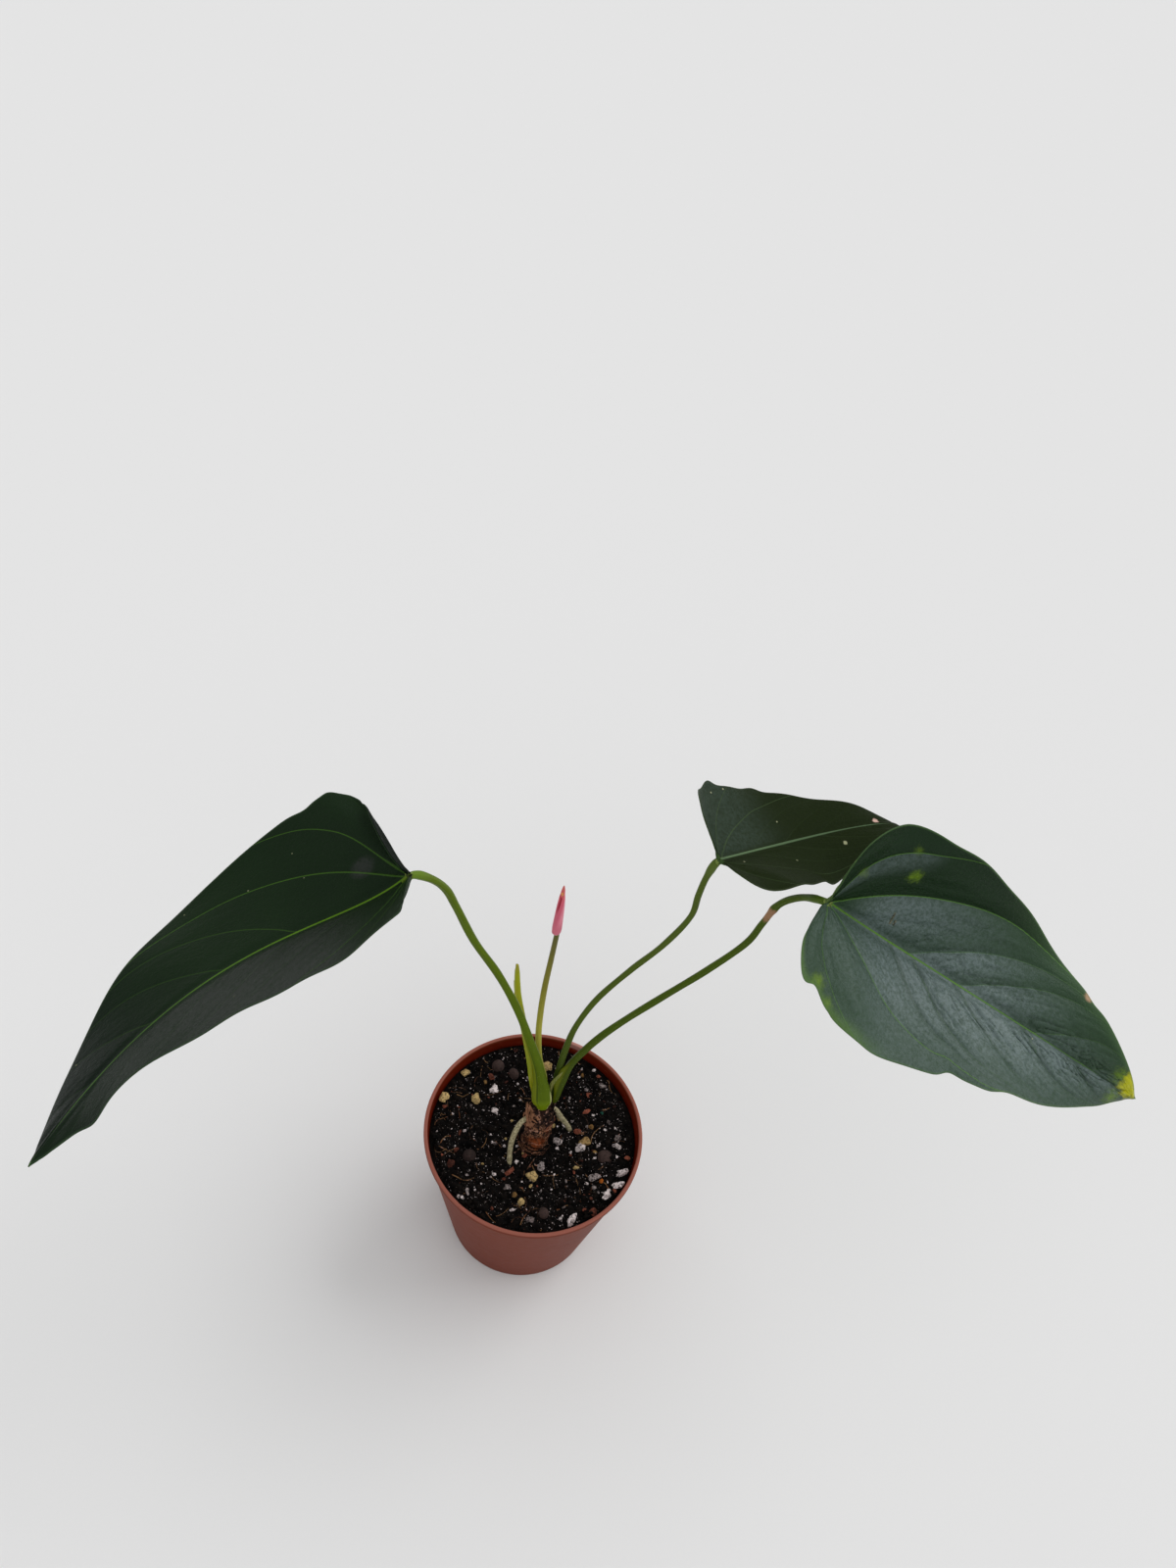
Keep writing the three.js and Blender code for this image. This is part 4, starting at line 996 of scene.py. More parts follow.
spadix = {
    "reaches": (2.5, 9, 16, 24.6),
    "sizes": [(0, 0.9, 0.9), (0.3, 1.25, 1.25), (0.75, 0.95, 0.95), (0.92, 0.68, 0.68), (1, 0.35, 0.35)],
    "sides": 36, "steps": 130, "between": (232, 160, 90), "bead": (252, 222, 170),
}


def shootRelief(share, angle):
    # the rolled edge of the young leaf winds once round the spear
    seam = (angle + 1.2 + 2.4 * share) % (2 * math.pi)
    return 0.25 * (seam / (2 * math.pi) - 0.5) + 0.05 * np.cos(6 * angle)


def shootFinish():
    young = Finish("rolled_young_leaf", Roughness=0.4, Specular_IOR_Level=0.25, Subsurface_Weight=0.08)
    along, angle = young.parts(young.field("stem"))[:2]
    streaks = young.noise(young.vector(angle * 12.0, along * 3.0), 1.0, 4.0)
    young.base(young.fade(along, 0.25, 0.85), shoot["foot"], shoot["top"])
    young.tint(streaks * 0.5, *shoot["streaks"])
    young.tint(young.fade(along, 0.93, 1.0) * 0.6, *shoot["driedTip"])
    return young.done(streaks, 0.4, 0.2)


def flowerStalkRelief(share, angle):
    return 0.04 * np.cos(5 * angle + share)


def flowerStalkFinish():
    stalk = Finish("flower_stalk_olive", Roughness=0.45, Specular_IOR_Level=0.2)
    along, angle = stalk.parts(stalk.field("stem"))[:2]
    streaks = stalk.noise(stalk.vector(angle * 8.0, along * 5.0), 1.0, 4.0)
    mottle = stalk.noise(stalk.place(), 420.0, 4.0)
    stalk.ramp(along, *flowerStalk["tones"])
    stalk.tint(streaks * 0.45, *flowerStalk["streaks"])
    stalk.tint(mottle * 0.3, *flowerStalk["mottle"])
    return stalk.done(streaks + mottle * 0.5, 0.4, 0.15)


def bractSheet():
    # a dry strip, cupped along its length
    centre, along = smoothPath(bract["path"], bract["rows"])[:2]
    share = np.linspace(0, 1, bract["rows"])
    half = fromTable(bract["halfWidth"], share)
    wide, deep = crossAxes(along)
    across = np.linspace(-1, 1, bract["columns"])
    offset = wide[:, None] * (half[:, None] * across)[..., None]
    cup = deep[:, None] * (0.35 * half[:, None] * across ** 2 - 0.15 * np.sin(9 * share)[:, None])[..., None]
    return centre[:, None] + offset + cup


def bractFinish():
    dry = Finish("dry_bract", Roughness=0.75, Specular_IOR_Level=0.25)
    streaks = dry.noise(dry.stretched(4, 4, 0.6), 400.0, 4.0)
    dry.base(dry.fade(streaks, 0.3, 0.75), bract["green"], bract["dry"])
    return dry.done(streaks, 0.5, 0.15)


def budAxes():
    base, length = np.array(bud["base"]), np.array(bud["tip"]) - np.array(bud["base"])
    along = unit(length)
    wide = unit(np.cross(along, np.array([0.0, -1.0, 0.0])))
    return base, np.linalg.norm(length), along, wide, np.cross(wide, along)


def spatheSheet():
    # one sheet rolled round the spadix; its free edge winds up the front and gapes below the tip
    base, length, along, wide, front = budAxes()
    share = np.linspace(0, 1, bud["rows"])[:, None]
    turn = np.linspace(0, 1, bud["columns"])[None]
    radius = fromTable(bud["sizes"], share)
    gape = np.exp(-((share - bud["slitAt"]) / 0.05) ** 2)
    turns = bud["turns"] - bud["slit"] * gape
    edge = math.pi / 2 - 0.25 + 1.7 * (bud["slitAt"] - share) - 0.25 * gape
    angle = edge - 2 * math.pi * turns * (1 - turn)
    layer = radius * (0.84 + 0.16 * turn * (1 - gape)) + 0.2 * gape * smoothStep(turn, 0.9, 1.0)
    return base + along * (share * length)[..., None] + wide * (layer * np.cos(angle))[..., None] \
        + front * (layer * np.sin(angle))[..., None]


def spatheFinish():
    pink = Finish("rolled_spathe", Roughness=0.42, Specular_IOR_Level=0.1, Subsurface_Weight=0.08,
                  Subsurface_Radius=(1, 0.35, 0.3), Subsurface_Scale=0.002)
    up, turn, inside = pink.parts(pink.field("roll"))[:3]
    clouds = pink.noise(pink.place(), 300.0, 4.0)
    veins = pink.noise(pink.vector(turn * 26.0, up * 3.0), 1.0, 3.0)
    pink.ramp(up, *bud["tones"])
    pink.tint(clouds * 0.25, *bud["clouds"])
    pink.tint(veins * 0.3, *bud["veins"])
    # painted highlight: the outer layer is paler on the right of the bud
    paintedHighlight = pink.fade(turn, 0.95, 0.84) * pink.fade(turn, 0.6, 0.72) * pink.fade(up, 0.1, 0.4)
    pink.tint(paintedHighlight * 0.7, *bud["paintedHighlight"])
    # painted shadow: the inner layer just left of the free edge is darkened where the overlapping edge shades it
    seam = pink.fade(turn, 0.36, 0.27) * pink.fade(turn, 0.2, 0.23) * pink.fade(up, 0.4, 0.62)
    pink.tint(seam * pink.fade(up, 0.92, 0.84) * 0.85, *bud["seam"])
    pink.tint(pink.fade(turn, 0.985, 1.0) * 0.25, *bud["freeEdge"])
    pink.tint(inside * 0.5, *bud["inside"])
    return pink.done(veins * 0.6 + clouds, 0.4, 0.15)


def makeBud():
    points, faces = sheetSolid(spatheSheet(), bud["wall"])
    up, turn = np.linspace(0, 1, bud["rows"]), np.linspace(0, 1, bud["columns"])
    roll = [together(up[:, None], turn[None], inside).reshape(-1, 3) for inside in (1.0, 0.0)]
    makePiece("rolled_spathe", points, faces, spatheFinish(), {"roll": np.concatenate(roll)}, "spathe",
              ["spathe_bud"], sharpAngle=50)


def beadRelief(share, angle):
    return 0.12 * np.cos(angle * 9 + share * 60) * np.cos(share * 95)


def makeSpadix():
    base, _, along = budAxes()[:3]
    spike = {**spadix, "path": [base + along * reach for reach in spadix["reaches"]]}
    cream = Finish("beaded_spadix", Roughness=0.6, Specular_IOR_Level=0.3)
    bead = cream.fade(cream.cells(cream.place(), 1500.0), 0.5, 0.1)
    cream.base(bead, spadix["between"], spadix["bead"])
    makeTube("beaded_spadix", spike, beadRelief, cream.done(bead, 0.6, 0.2), "spadix", "spadix")


makeTube("rolled_young_leaf", shoot, shootRelief, shootFinish(), "new_shoot", "new_shoot")
makeTube("flower_stem", flowerStalk, flowerStalkRelief, flowerStalkFinish(), "flower_stalk", "flower_stalk")
makePiece("dry_bract", *sheetSolid(bractSheet(), bract["thick"]), bractFinish(), None, "dry_bract", ["cataphyll"])
makeBud()
makeSpadix()
print("shoot, bract and flower are built")


# ---- rhizome and roots

rhizome = {
    "path": [(2.2, -1, 46), (1.8, -1, 66), (1.6, -1, 79), (1.8, 0.6, 91), (2.4, 4.2, 102), (3.1, 7.2, 108.5)],
    "sizes": [(0, 3.4, 3.4), (0.135, 4.4, 4.4), (0.45, 4.2, 4.2), (0.525, 4.5, 4.4), (0.6, 5.1, 4.9),
              (0.705, 5.7, 5.4), (0.83, 5.5, 5.0), (0.9, 4.7, 4.4), (1, 3.0, 2.9)],
    "length": 64, "smooth": (2.3, -6.2, 86.0), "sides": 120, "steps": 240, "seed": 21,
    # scales and fibres start from numbered spots along the path
    "spots": 200, "lowestFibre": 72, "scales": 190, "shoulder": 30, "fibres": 170,
    "skirt": 60, "skirtLevel": 80.2, "skirtCentre": (1.7, -1, 0), "roots": 6, "rootCentre": (2.5, -1, 0),
    # dark, light and bright tones
    "barkTones": [(20, 8, 5), (88, 44, 26), (104, 44, 20)],
    "scaleTones": [(22, 9, 5), (164, 116, 86), (112, 50, 26)],
    # tones of the painted shade under the stalks, of the darkening towards the bottom, of the bare patch and of the
    # small painted highlights
    "shadeUnderStalks": (20, 9, 6), "lowDarkening": (40, 14, 6), "bare": (168, 80, 30), "flecks": (200, 150, 128),
}
aerialRoots = {
    "left": [(-1.8, 1.5, 97.5), (-4.4, 0.2, 97.3), (-7.2, -2.2, 95), (-9.6, -8.4, 88), (-9, -14.2, 79),
             (-8, -17, 73)],
    "right": [(5.4, 4, 102), (7.8, 5.4, 100.6), (11.2, 6.6, 92.6), (14.5, 7.2, 85.6), (17, 7.6, 79.5),
              (18.4, 7.8, 74)],
    "sizes": [(0, 1.15, 1.15), (0.3, 1.3, 1.3), (1, 1.15, 1.15)], "sides": 30, "steps": 130,
    "dark": (118, 109, 80), "light": (190, 180, 144), "patches": (92, 96, 66),
}


def barkRelief(share, angle):
    height = share * rhizome["length"]
    rings = np.sin(2 * math.pi * height / 5.5 + 0.8 * np.sin(angle))
    around = onCircle(6, angle, height)
    ragged = 0.9 * lumps(around, 5.5, 6) + 0.55 * lumps(around, 2.6, 7) + 0.35 * lumps(around, 1.2, 8)
    return 0.3 * rings + ragged + 0.2 * lumps(around, 0.6, 9)


def barkFinish(name, dark, light, bright, onStump=True):
    bark = Finish(name, Roughness=0.85, Specular_IOR_Level=0.2)
    place = bark.place()
    fibre = bark.noise(bark.stretched(1, 1, 0.35), 900.0, 5.0, 0.7)
    patch = bark.noise(place, 190.0, 4.0)
    shade = bark.field("tone", "Fac")
    bark.base(bark.fade(fibre + shade * 0.35, 0.57, 0.74), dark, light)
    bark.tint(bark.fade(patch, 0.52, 0.7) * 0.75, *bright)
    if onStump:
        # torn just under the stalks and darkened there with painted shade; darker towards the bottom; bare and smooth
        # low on the front
        height = bark.parts(place)[2]
        shadeUnderStalks = bark.fade(height, 0.095, 0.1) * (1 - bark.fade(shade, 0.75, 0.95) * 0.9)
        bark.tint(shadeUnderStalks * 0.85, *rhizome["shadeUnderStalks"])
        bark.tint(bark.fade(height, 0.0945, 0.084) * 0.6, *rhizome["lowDarkening"])
        off = bark.distance(place, [part * mm for part in rhizome["smooth"]]) + patch * 0.004
        bare = bark.fade(off, 0.0078, 0.0045)
        broken = bark.fade(fibre, 0.4, 0.56) * 0.6 + 0.25
        bark.tint(bare * broken, *rhizome["bare"])
    # painted highlights: small pale glints over the bark, scales and fibres
    flecks = bark.fade(bark.noise(place, 560.0, 2.0), 0.6, 0.67)
    bark.tint(flecks * 0.6, *rhizome["flecks"])
    return bark.done(fibre, 0.8, 0.5)


def addScales(bundle, chance):
    # papery scales and torn sheath ends lying on the stump, each a thin cupped strip
    centre, along = smoothPath(rhizome["path"], rhizome["spots"])[:2]
    for number in range(rhizome["scales"]):
        # the first few stand out together as the pale shoulder left of the youngest stalk
        standing = number < rhizome["shoulder"]
        share = chance.uniform(0.78, 0.88) if standing else chance.uniform(0.45, 0.93)
        spot = int(share * (rhizome["spots"] - 1))
        angle = chance.gauss(3.5, 0.34) if standing else chance.uniform(0, 2 * math.pi)
        outward = np.array([math.cos(angle), math.sin(angle), 0.0])
        outward = unit(outward - along[spot] * (outward @ along[spot]))
        sideways = np.cross(along[spot], outward)
        lean = chance.gauss(0, 0.9)
        grow = math.cos(lean) * along[spot] + math.sin(lean) * sideways
        across = np.cross(grow, outward)
        reach, wide = chance.uniform(2.5, 7), chance.uniform(0.8, 2.8)
        radius = fromTable(rhizome["sizes"], share) + chance.uniform(0.0, 0.6)
        radius = radius + (2.2 * chance.random() if standing else 0)
        u = np.linspace(0, 1, 8)[:, None]
        v = np.linspace(-1, 1, 6)[None]
        width = wide * (1 - u ** 2 * chance.uniform(0.4, 0.95)) / 2
        lift = chance.uniform(0.0, 0.8) * u ** 2 - (width * v) ** 2 / (2 * radius) - (reach * (u - 0.3)) ** 2 / 60
        lift = lift + 0.18 * np.sin(5 * v + 9 * u + angle)
        sheet = centre[spot] + outward * (radius + lift)[..., None] + grow * (reach * (u - 0.3) + 0 * v)[..., None] \
            + across * (width * v)[..., None]
        bundle.add(*sheetSolid(sheet, 0.16), tone=1.0 if standing else chance.random() * 0.8)


def addFibres(bundle, chance):
    # dry fibres wound loosely over the stump
    centre, last = smoothPath(rhizome["path"], rhizome["spots"])[0], rhizome["spots"] - 1
    for _ in range(rhizome["fibres"]):
        share = chance.uniform(0.43, 0.92)
        angle = chance.uniform(0, 2 * math.pi)
        sweep, climb = chance.uniform(-1.6, 1.6), chance.uniform(-0.06, 0.1)
        path = []
        for step in np.linspace(0, 1, 6):
            spot = min(last, max(rhizome["lowestFibre"], int((share + climb * step) * last)))
            radius = fromTable(rhizome["sizes"], spot / last) + chance.uniform(0.1, 0.8)
            path.append(centre[spot] + onCircle(radius, angle + sweep * step, 0))
        bundle.addStrand(path, chance.uniform(0.09, 0.24), 0.6, (1, 0.6), 5, 14, chance.random())


def addSkirt(bundle, chance):
    # torn fibres lying on the mix round the foot of the stump, most of them at its front left
    for _ in range(rhizome["skirt"]):
        angle = math.radians(chance.gauss(238, 42))
        radius, sweep = chance.uniform(4.6, 9.5), chance.uniform(0.3, 0.9)
        path = []
        for step in np.linspace(-0.5, 0.5, 5):
            height = rhizome["skirtLevel"] + chance.uniform(0, 1.2) + 0.5 * max(0, 8 - radius)
            path.append(onCircle(radius, angle + sweep * step, height) + rhizome["skirtCentre"])
        bundle.addStrand(path, chance.uniform(0.14, 0.4), 0.6, (0.6, 0.4), 6, 16, chance.random())


def addBuriedRoots(bundle, chance):
    for number in range(rhizome["roots"]):
        angle = (number + 0.5 * chance.random()) / rhizome["roots"] * 2 * math.pi
        start, end, spread = chance.uniform(52, 62), chance.uniform(14, 24), chance.uniform(24, 30)
        path = []
        for radius, height in ((2, start + 1), (11, start - 3), (20, (start + end) / 2), (spread, end)):
            path.append(onCircle(radius, angle + 0.45 * (radius / spread) ** 2, height) + rhizome["rootCentre"])
        bundle.add(*tubeSolid(path, [(0, 1.4, 1.4), (0.7, 1.2, 1.2), (1, 0.6, 0.6)], 12, 40)[:2], 0.5)


def makeRhizome():
    chance = random.Random(rhizome["seed"])
    stump = Bundle()
    body = tubeSolid(rhizome["path"], rhizome["sizes"], rhizome["sides"], rhizome["steps"], barkRelief, domeRise=0.15)
    stump.add(*body[:2], 0.4)
    addBuriedRoots(stump, chance)
    stump.make("rhizome_stump", barkFinish("rhizome_bark", *rhizome["barkTones"]), slot="rhizome_bark",
               replaces=["rhizome"])
    dry = Bundle()
    addScales(dry, chance)
    addFibres(dry, chance)
    addSkirt(dry, chance)
    dry.make("rhizome_scales", barkFinish("dry_scales", *rhizome["scaleTones"]), slot="rhizome_bark", sharpAngle=60)


def rootFinish():
    skin = Finish("aerial_root_skin", Roughness=0.8, Specular_IOR_Level=0.25)
    place = skin.place()
    velvet = skin.noise(place, 1100.0, 4.0)
    patches = skin.noise(place, 330.0, 3.0)
    skin.base(skin.fade(velvet, 0.3, 0.7), aerialRoots["dark"], aerialRoots["light"])
    skin.tint(skin.fade(patches, 0.58, 0.72) * 0.7, *aerialRoots["patches"])
    return skin.done(velvet, 0.7, 0.3)


def rootRelief(share, angle):
    around = onCircle(1.3, angle, 28 * share)
    return 0.13 * lumps(around, 2.2, 4) + 0.08 * lumps(around, 0.8, 5)


makeRhizome()
rootSkin = rootFinish()
for name in ("left", "right"):
    root = {**aerialRoots, "path": aerialRoots[name]}
    makeTube(f"aerial_root_skin_{name}", root, rootRelief, rootSkin, "root_skin", f"aerial_root_{name}")
print("rhizome and roots are built")


# ---- potting mix

mix = {
    "level": 79, "edgeRise": 3.4, "radius": 49.5, "rings": 105, "around": 440, "seed": 8,
    # crumbs: how many, their smallest and largest size and how much commoner the small ones are
    "crumbs": (1700, 0.7, 3.0, 2.2), "scatterRadius": 47.8, "stump": (2.6, -1), "fibreCount": 90,
    "fibreRadius": 47.5,
    "peatDark": (5, 4, 4), "peatLight": (26, 19, 15), "peatFine": (74, 60, 50), "peatSpecks": (140, 132, 124),
    "fibreTones": [(44, 28, 18), (128, 96, 64), (120, 66, 38)],
    # rings below the top: radius and height
    "sides": [(49.2, 79.5), (48, 76), (44, 55), (40.5, 33), (36.2, 5), (34.8, 2.1), (0.8, 2.1)],
    # places and sizes of the larger grains that stand out in the real pot
    "gravel": [(-38.6, 26, 5), (-46, 10.6, 5.5), (-30.2, 13.8, 5), (0.8, 37.9, 6.5), (2.6, -19.7, 6.5),
               (25.6, 1.6, 5.5), (0, -34.1, 4.5), (-4, -31.2, 3)],
    "clay": [(-25.5, 26.3, 4), (24, 26.3, 3.2), (24, 17.3, 4.5), (20.9, 7, 4), (37.3, 22.1, 2.2), (-34.9, -4.4, 3.2),
             (-44.6, 6.3, 2.5), (-36.4, -21.6, 6), (-8.2, -19.6, 6.5), (-2.5, -10.4, 4.5), (33.5, -33.4, 4.5),
             (-12.9, -39.6, 2.5), (-10.8, 22, 2)],
    "pellets": [(-23, 33, 6.5), (-14.6, 30.7, 6), (10.7, -38, 6), (-28.2, -15.7, 7), (36, -4.2, 8)],
    "perlite": [(40.9, 5.5, 4), (40.6, 1, 4.5), (23.6, -1.4, 5), (12.1, -0.4, 4.2), (31.5, -16.5, 6),
                (44.4, -12, 6), (43.6, -18.5, 5), (38.3, -24.7, 3.6), (24.4, -38.7, 6.5), (6, -13.6, 4),
                (-25.8, -33.4, 3.6), (-7.8, -27.1, 4), (-22.6, 20.2, 4.5), (-20.3, 10.3, 4), (5.5, -42.8, 3.6),
                (-3.7, -38.5, 3.5), (-17.3, -6.3, 3), (32.5, -21.8, 3), (29.5, 31.8, 4)],
    "orange": [(35.5, -17.4, 2.8)], "teal": [(31.5, 17.5, 2.2)],
}
# scattered grains are given as the crumbs are; shape: roughness, height above the mix, flatness and flat sides;
# look: material, dark and light tones and share of painted shade in the pits
grains = {
    "perlite_grains": {
        "scattered": [(1900, 0.18, 0.8, 1.9), (260, 0.6, 2.6, 2.4)], "placed": mix["perlite"],
        "shape": (0.5, 0.14, 0.45, 4), "look": ("perlite", (112, 99, 96), (238, 224, 222), 0.9), "sharp": 45,
    },
    "tan_gravel": {
        "scattered": [(14, 1.4, 3.2, 1.5)], "placed": mix["gravel"],
        "shape": (0.36, 0.2, 0.7, 3), "look": ("tan_gravel", (118, 84, 42), (206, 176, 118), 0.6), "sharp": 40,
    },
    "clay_bits": {
        "scattered": [(70, 0.8, 3.0, 1.8)], "placed": mix["clay"],
        "shape": (0.3, 0.14, 0.42, 5), "look": ("fired_clay", (58, 27, 18), (146, 80, 60), 0.45), "sharp": 40,
    },
    "dark_pellets": {
        "scattered": [], "placed": mix["pellets"],
        "shape": (0.07, 0.05, 0.85, 0), "look": ("dark_pellets", (30, 22, 20), (66, 50, 46), 0.2), "sharp": None,
    },
    "orange_chip": {
        "scattered": [], "placed": mix["orange"],
        "shape": (0.15, 0.3, 0.5, 6), "look": ("orange_chip", (196, 104, 30), (244, 164, 60), 0.1), "sharp": None,
    },
    "teal_chip": {
        "scattered": [], "placed": mix["teal"],
        "shape": (0.15, 0.3, 0.5, 6), "look": ("teal_chip", (14, 60, 50), (32, 104, 84), 0.1), "sharp": None,
    },
}


def mixHeight(x, y):
    # the crumbly top of the mix: long swells as in the solid, then crumbs of three sizes
    swell = np.sin(0.11 * x + 0.4) * np.cos(0.13 * y - 0.7)
    crumbs = np.sin(0.63 * x + 1.1 * y) + np.sin(0.9 * x - 0.57 * y + 2)
    flat = together(x, y, 0.0)
    fine = 0.85 * np.abs(lumps(flat, 4.2, 1)) + 0.75 * lumps(flat, 2.1, 2) + 0.45 * lumps(flat, 1.05, 3)
    bank = mix["edgeRise"] * smoothStep(np.hypot(x, y), 20, 46)
    return mix["level"] + bank + 0.9 * (0.6 * swell + 0.35 * crumbs) + fine - 0.4


def heightAt(x, y):
    return float(mixHeight(np.array([x]), np.array([y]))[0])


def mixBody():
    around = np.linspace(0, 2 * math.pi, mix["around"], endpoint=False)
    rings = mix["radius"] * np.sqrt(np.linspace(0.0004, 1, mix["rings"])) ** 1.15
    ring, angle = np.meshgrid(rings, around, indexing="ij")
    x, y = ring * np.cos(angle), ring * np.sin(angle)
    edge = smoothStep(ring, mix["radius"] - 1.2, mix["radius"])
    brim = mix["level"] + mix["edgeRise"] - 1
    top = together(x, y, mixHeight(x, y) * (1 - edge) + brim * edge)
    grid = np.concatenate([top, *[onCircle(radius, around, height)[None] for radius, height in mix["sides"]]])
    return grid.reshape(-1, 3), tubeFaces(len(grid), mix["around"])


def peatFinish():
    peat = Finish("dark_peat", Roughness=0.95, Specular_IOR_Level=0.12)
    place = peat.place()
    coarse = peat.noise(place, 420.0, 5.0, 0.7)
    fine = peat.noise(place, 1700.0, 4.0, 0.7)
    shade = peat.field("tone", "Fac")
    specks = peat.fade(peat.cells(place, 900.0), 0.22, 0.12) * peat.fade(peat.noise(place, 300.0), 0.46, 0.62)
    peat.base(peat.fade(coarse + shade * 0.4, 0.55, 1.0), mix["peatDark"], mix["peatLight"])
    peat.tint(peat.fade(fine, 0.68, 0.82) * 0.25, *mix["peatFine"])
    peat.tint(specks * 0.55, *mix["peatSpecks"])
    return peat.done(coarse + fine * 0.7, 1.0, 0.9)


def grainFinish(name, dark, light, pitShade):
    grain = Finish(name, Roughness=0.85, Specular_IOR_Level=0.25)
    place = grain.place()
    coarse = grain.noise(place, 700.0, 4.0, 0.65)
    shade = grain.field("tone", "Fac")
    grain.base(grain.fade(coarse * 0.6 + shade * 0.7, 0.3, 0.85), dark, light)
    # painted shade in the pits of each grain
    holes = grain.fade(grain.noise(place, 1150.0, 3.0, 0.6), 0.53, 0.62)
    grain.tint(holes * pitShade, *[part * 0.14 for part in dark])
    return grain.done(coarse - holes, 0.8, 0.5)


def scatter(chance, count, smallest, largest, power, clear=9.0):
    # places on the mix outside the stump, small grains more often than large ones
    placed = []
    while len(placed) < count:
        radius, angle = mix["scatterRadius"] * math.sqrt(chance.random()), chance.uniform(0, 2 * math.pi)
        x, y = radius * math.cos(angle), radius * math.sin(angle)
        if math.dist((x, y), mix["stump"]) > clear:
            placed.append((x, y, smallest + (largest - smallest) * chance.random() ** power))
    return placed


def addGrains(bundle, chance, places, rough, sink, flat, corners):
    for x, y, size in places:
        level = 1 if size < 1.1 else 2 if size < 3.6 else 3
        points, faces = lumpSolid(chance, size, level, rough, flat, corners)
        bundle.add(points + np.array([x, y, heightAt(x, y) + size * sink]), faces, chance.random())


def addMixFibres(bundle, chance):
    for x, y, size in scatter(chance, mix["fibreCount"], 3, 11, 1.6):
        heading, bend = chance.uniform(0, 2 * math.pi), chance.gauss(0, 0.5)
        path = []
        for step in np.linspace(-0.5, 0.5, 5):
            turned = heading + bend * step
            px, py = x + size * step * math.cos(turned), y + size * step * math.sin(turned)
            inside = min(1.0, mix["fibreRadius"] / max(math.hypot(px, py), 1e-6))
            px, py = px * inside, py * inside
            path.append((px, py, heightAt(px, py) + 0.25 + chance.uniform(0, 0.5)))
        bundle.addStrand(path, chance.uniform(0.1, 0.32), 0.5, (1, 0.5), 6, 16, chance.random())


def makeMix():
    chance = random.Random(mix["seed"])
    peat = peatFinish()
    body = Bundle()
    body.add(*mixBody(), tone=0.5)
    body.make("potting_mix_body", peat, slot="potting_mix", replaces=["potting_mix"], sharpAngle=70)
    crumbs = Bundle()
    addGrains(crumbs, chance, scatter(chance, *mix["crumbs"]), 0.45, 0.12, 0.55, 1)
    crumbs.make("peat_crumbs", peat, slot="potting_mix")
    for name, kind in grains.items():
        bundle = Bundle()
        scattered = [place for counts in kind["scattered"] for place in scatter(chance, *counts)]
        addGrains(bundle, chance, scattered + kind["placed"], *kind["shape"])
        bundle.make(name, grainFinish(*kind["look"]), slot="potting_mix", sharpAngle=kind["sharp"])
    fibres = Bundle()
    addMixFibres(fibres, chance)
    fibres.make("wood_fibres", barkFinish("wood_fibres", *mix["fibreTones"], onStump=False), slot="potting_mix")


makeMix()
print("potting mix is built")


# ---- pot

pot = {
    "rim": 52.5, "height": 88.0, "base": 37.2, "wall": 0.8, "floor": 1.6, "lipWidth": 1.8, "lipHeight": 2.8,
    "lipStep": 0.6, "lipOut": 0.8, "lipIn": 0.7, "sides": 220, "holeRadius": 4.0, "holeCircle": 26.0, "holes": 8,
    # the lip tone is a painted highlight along the top of the rim
    "dark": (104, 41, 20), "light": (118, 49, 27), "inside": (102, 25, 5), "lip": (176, 112, 98),
    "scuffs": (170, 116, 100), "dirt": (40, 26, 20), "smudge": (206, 152, 142), "smudgeAt": (13.5, 48.5, 86.5),
}


def potProfile():
    # outside up, over the rounded lip, and down the inside; the base corners are rounded too
    def outer(height):
        return pot["base"] + (pot["rim"] - pot["base"]) * height / pot["height"] - pot["lipStep"]

    def inner(height):
        return outer(height) - pot["wall"]

    under = pot["height"] - pot["lipHeight"]
    outside = [(0.5, 0.5), (6, 0.5), (7, 0.0), (pot["base"] - 1.6, 0), (pot["base"] - 1.0, 0.25), (outer(1.4), 1.4)]
    outside += [(outer(height), height) for height in np.linspace(4, under - 1, 30)]
    outside += [(outer(under), under), (pot["rim"] - 0.35, under + 0.2), (pot["rim"], under + 0.55)]
    lip = [(pot["rim"], pot["height"] - 0.9)]
    centreIn = pot["rim"] - pot["lipWidth"] + pot["lipIn"]
    quarter = math.pi / 2
    for centre, bend, first in ((pot["rim"] - pot["lipOut"], pot["lipOut"], 0), (centreIn, pot["lipIn"], quarter)):
        for turn in np.linspace(first, first + quarter, 6):
            lip.append((centre + bend * math.cos(turn), pot["height"] - bend + bend * math.sin(turn)))
    inside = [(inner(under), under - 1.5)]
    inside += [(inner(height), height) for height in np.linspace(under - 4, 5, 20)]
    inside += [(inner(3) - 0.4, 3), (inner(pot["floor"]) - 2, pot["floor"]), (0.5, pot["floor"])]
    return np.array(outside + lip + inside)


def potGrid():
    profile = potProfile()
    angle = np.linspace(0, 2 * math.pi, pot["sides"], endpoint=False)
    return onCircle(profile[:, :1], angle, profile[:, 1:])


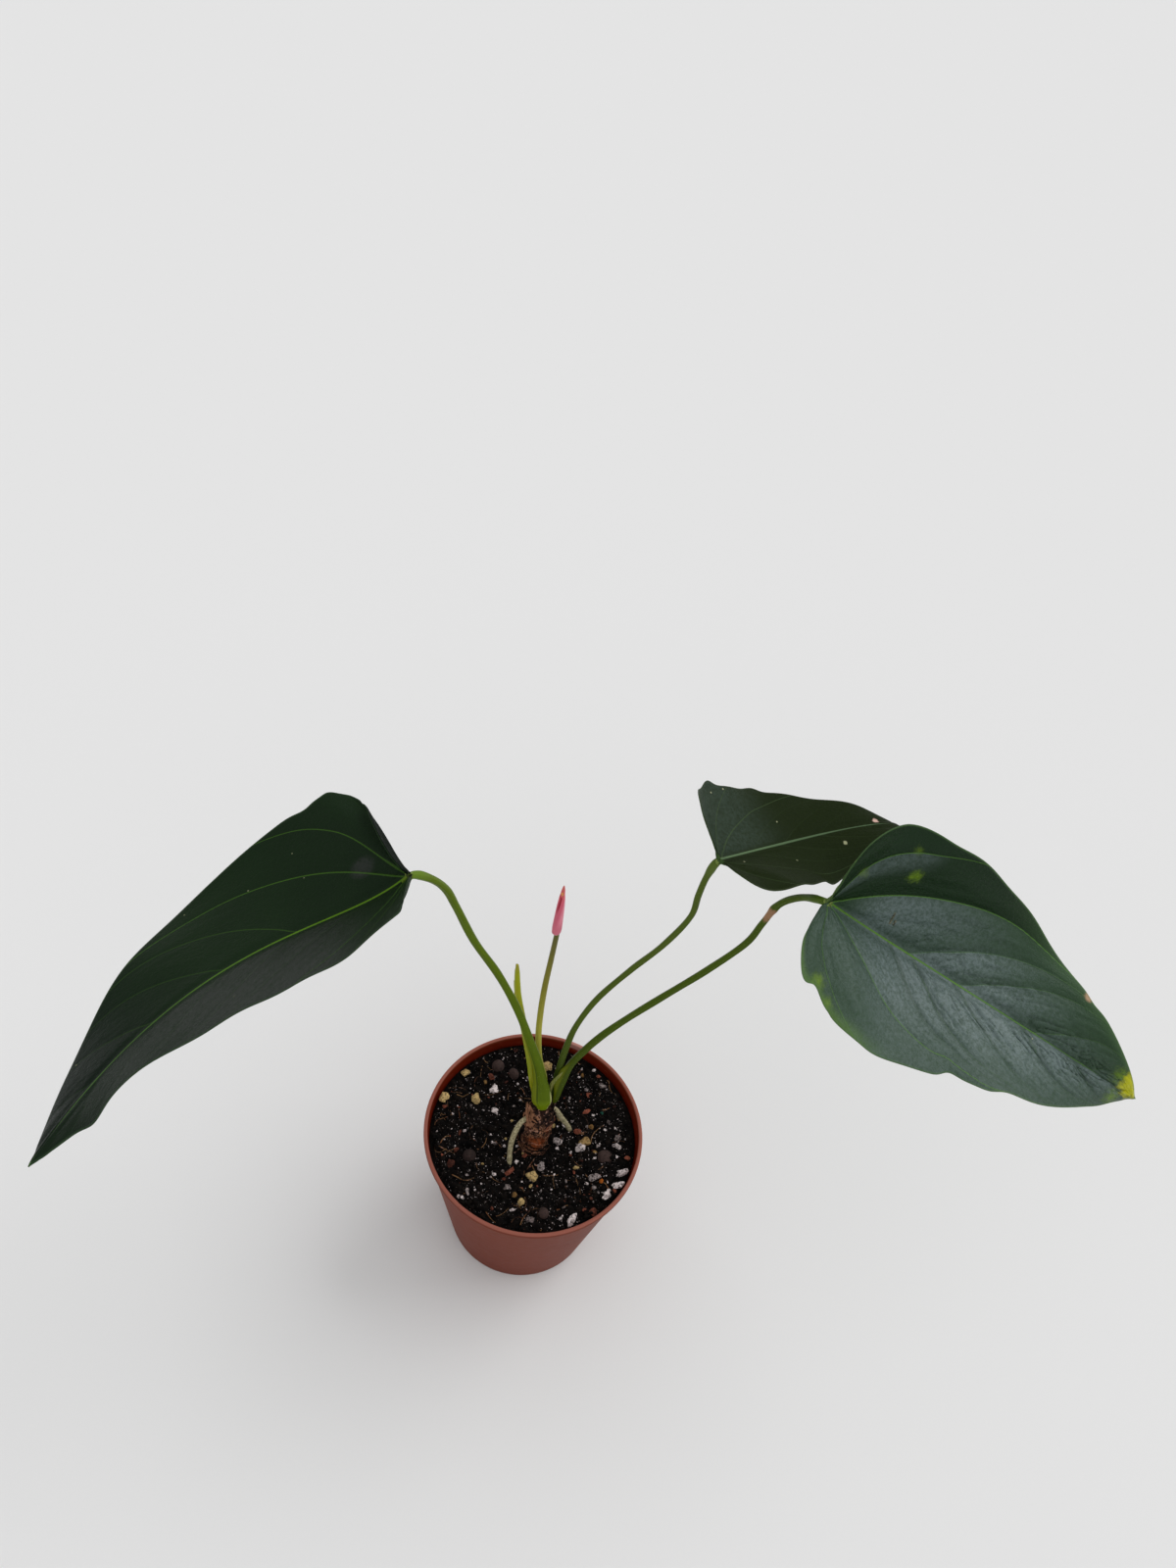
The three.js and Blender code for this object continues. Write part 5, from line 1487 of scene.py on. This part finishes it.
def plasticFinish():
    plastic = Finish("terracotta_plastic", Roughness=0.5, Specular_IOR_Level=0.08)
    place = plastic.place()
    x, y, z = plastic.parts(place)[:3]
    clouds = plastic.noise(place, 28.0, 4.0)
    scuffs = plastic.noise(plastic.stretched(1, 1, 5), 260.0, 5.0)
    specks = plastic.noise(place, 1500.0, 2.0)
    outRadius = plastic.distance(plastic.vector(x, y), (0, 0, 0))
    slope, middle = (pot["rim"] - pot["base"]) / pot["height"], pot["base"] - pot["lipStep"] - pot["wall"] / 2
    inside = plastic.fade(outRadius - (z * slope + middle * mm), 0.0003, -0.0003) * plastic.fade(z, 0.0866, 0.0855)
    plastic.base(clouds, pot["dark"], pot["light"])
    plastic.tint(inside, *pot["inside"])
    # painted highlight: a pale line along the top of the rim
    plastic.tint(plastic.fade(z, 0.0871, 0.0877) * 0.6, *pot["lip"])
    plastic.tint(plastic.fade(scuffs, 0.58, 0.75) * 0.14, *pot["scuffs"])
    dirtLow = plastic.noise(place, 85.0, 5.0, 0.7) + specks * 0.3
    dirt = plastic.fade(dirtLow, 0.82, 0.92) * plastic.fade(z, 0.04, 0.08)
    plastic.tint(dirt * 0.8, *pot["dirt"])
    off = plastic.distance(place, [part * mm for part in pot["smudgeAt"]]) + clouds * 0.004
    smudge = plastic.fade(off, 0.0085, 0.004) * plastic.fade(z, 0.0838, 0.0856)
    plastic.tint(smudge * 0.6, *pot["smudge"])
    plastic.feed("Roughness", scuffs * 0.25 + 0.36 + inside * 0.1)
    return plastic.done(scuffs * 0.6 + specks * 0.2, 0.25, 0.15)


def makePot():
    grid = potGrid()
    faces = [face[::-1] for face in tubeFaces(len(grid), pot["sides"])]
    piece = makePiece("nursery_pot", grid.reshape(-1, 3), faces, plasticFinish(), None, "pot_plastic", ["pot"],
                      sharpAngle=35)
    drills = bpy.data.meshes.new("drain_holes")
    drill = bmesh.new()
    for number in range(pot["holes"]):
        angle = (number + 0.5) / pot["holes"] * 2 * math.pi
        spot = Vector((math.cos(angle), math.sin(angle), 0)) * pot["holeCircle"] * mm
        bmesh.ops.create_cone(drill, cap_ends=True, segments=36, radius1=pot["holeRadius"] * mm,
                              radius2=pot["holeRadius"] * mm, depth=10 * mm, matrix=Matrix.Translation(spot))
    drill.to_mesh(drills)
    drill.free()
    cutter = bpy.data.objects.new("drain_holes", drills)
    scene.collection.objects.link(cutter)
    cut = piece.modifiers.new("holes", "BOOLEAN")
    cut.operation, cut.object, cut.solver = "DIFFERENCE", cutter, "EXACT"
    bpy.context.view_layer.update()
    shaped = bpy.data.meshes.new_from_object(piece.evaluated_get(bpy.context.evaluated_depsgraph_get()))
    piece.modifiers.clear()
    piece.data = shaped
    bpy.data.objects.remove(cutter)


makePot()
print("pot is built")
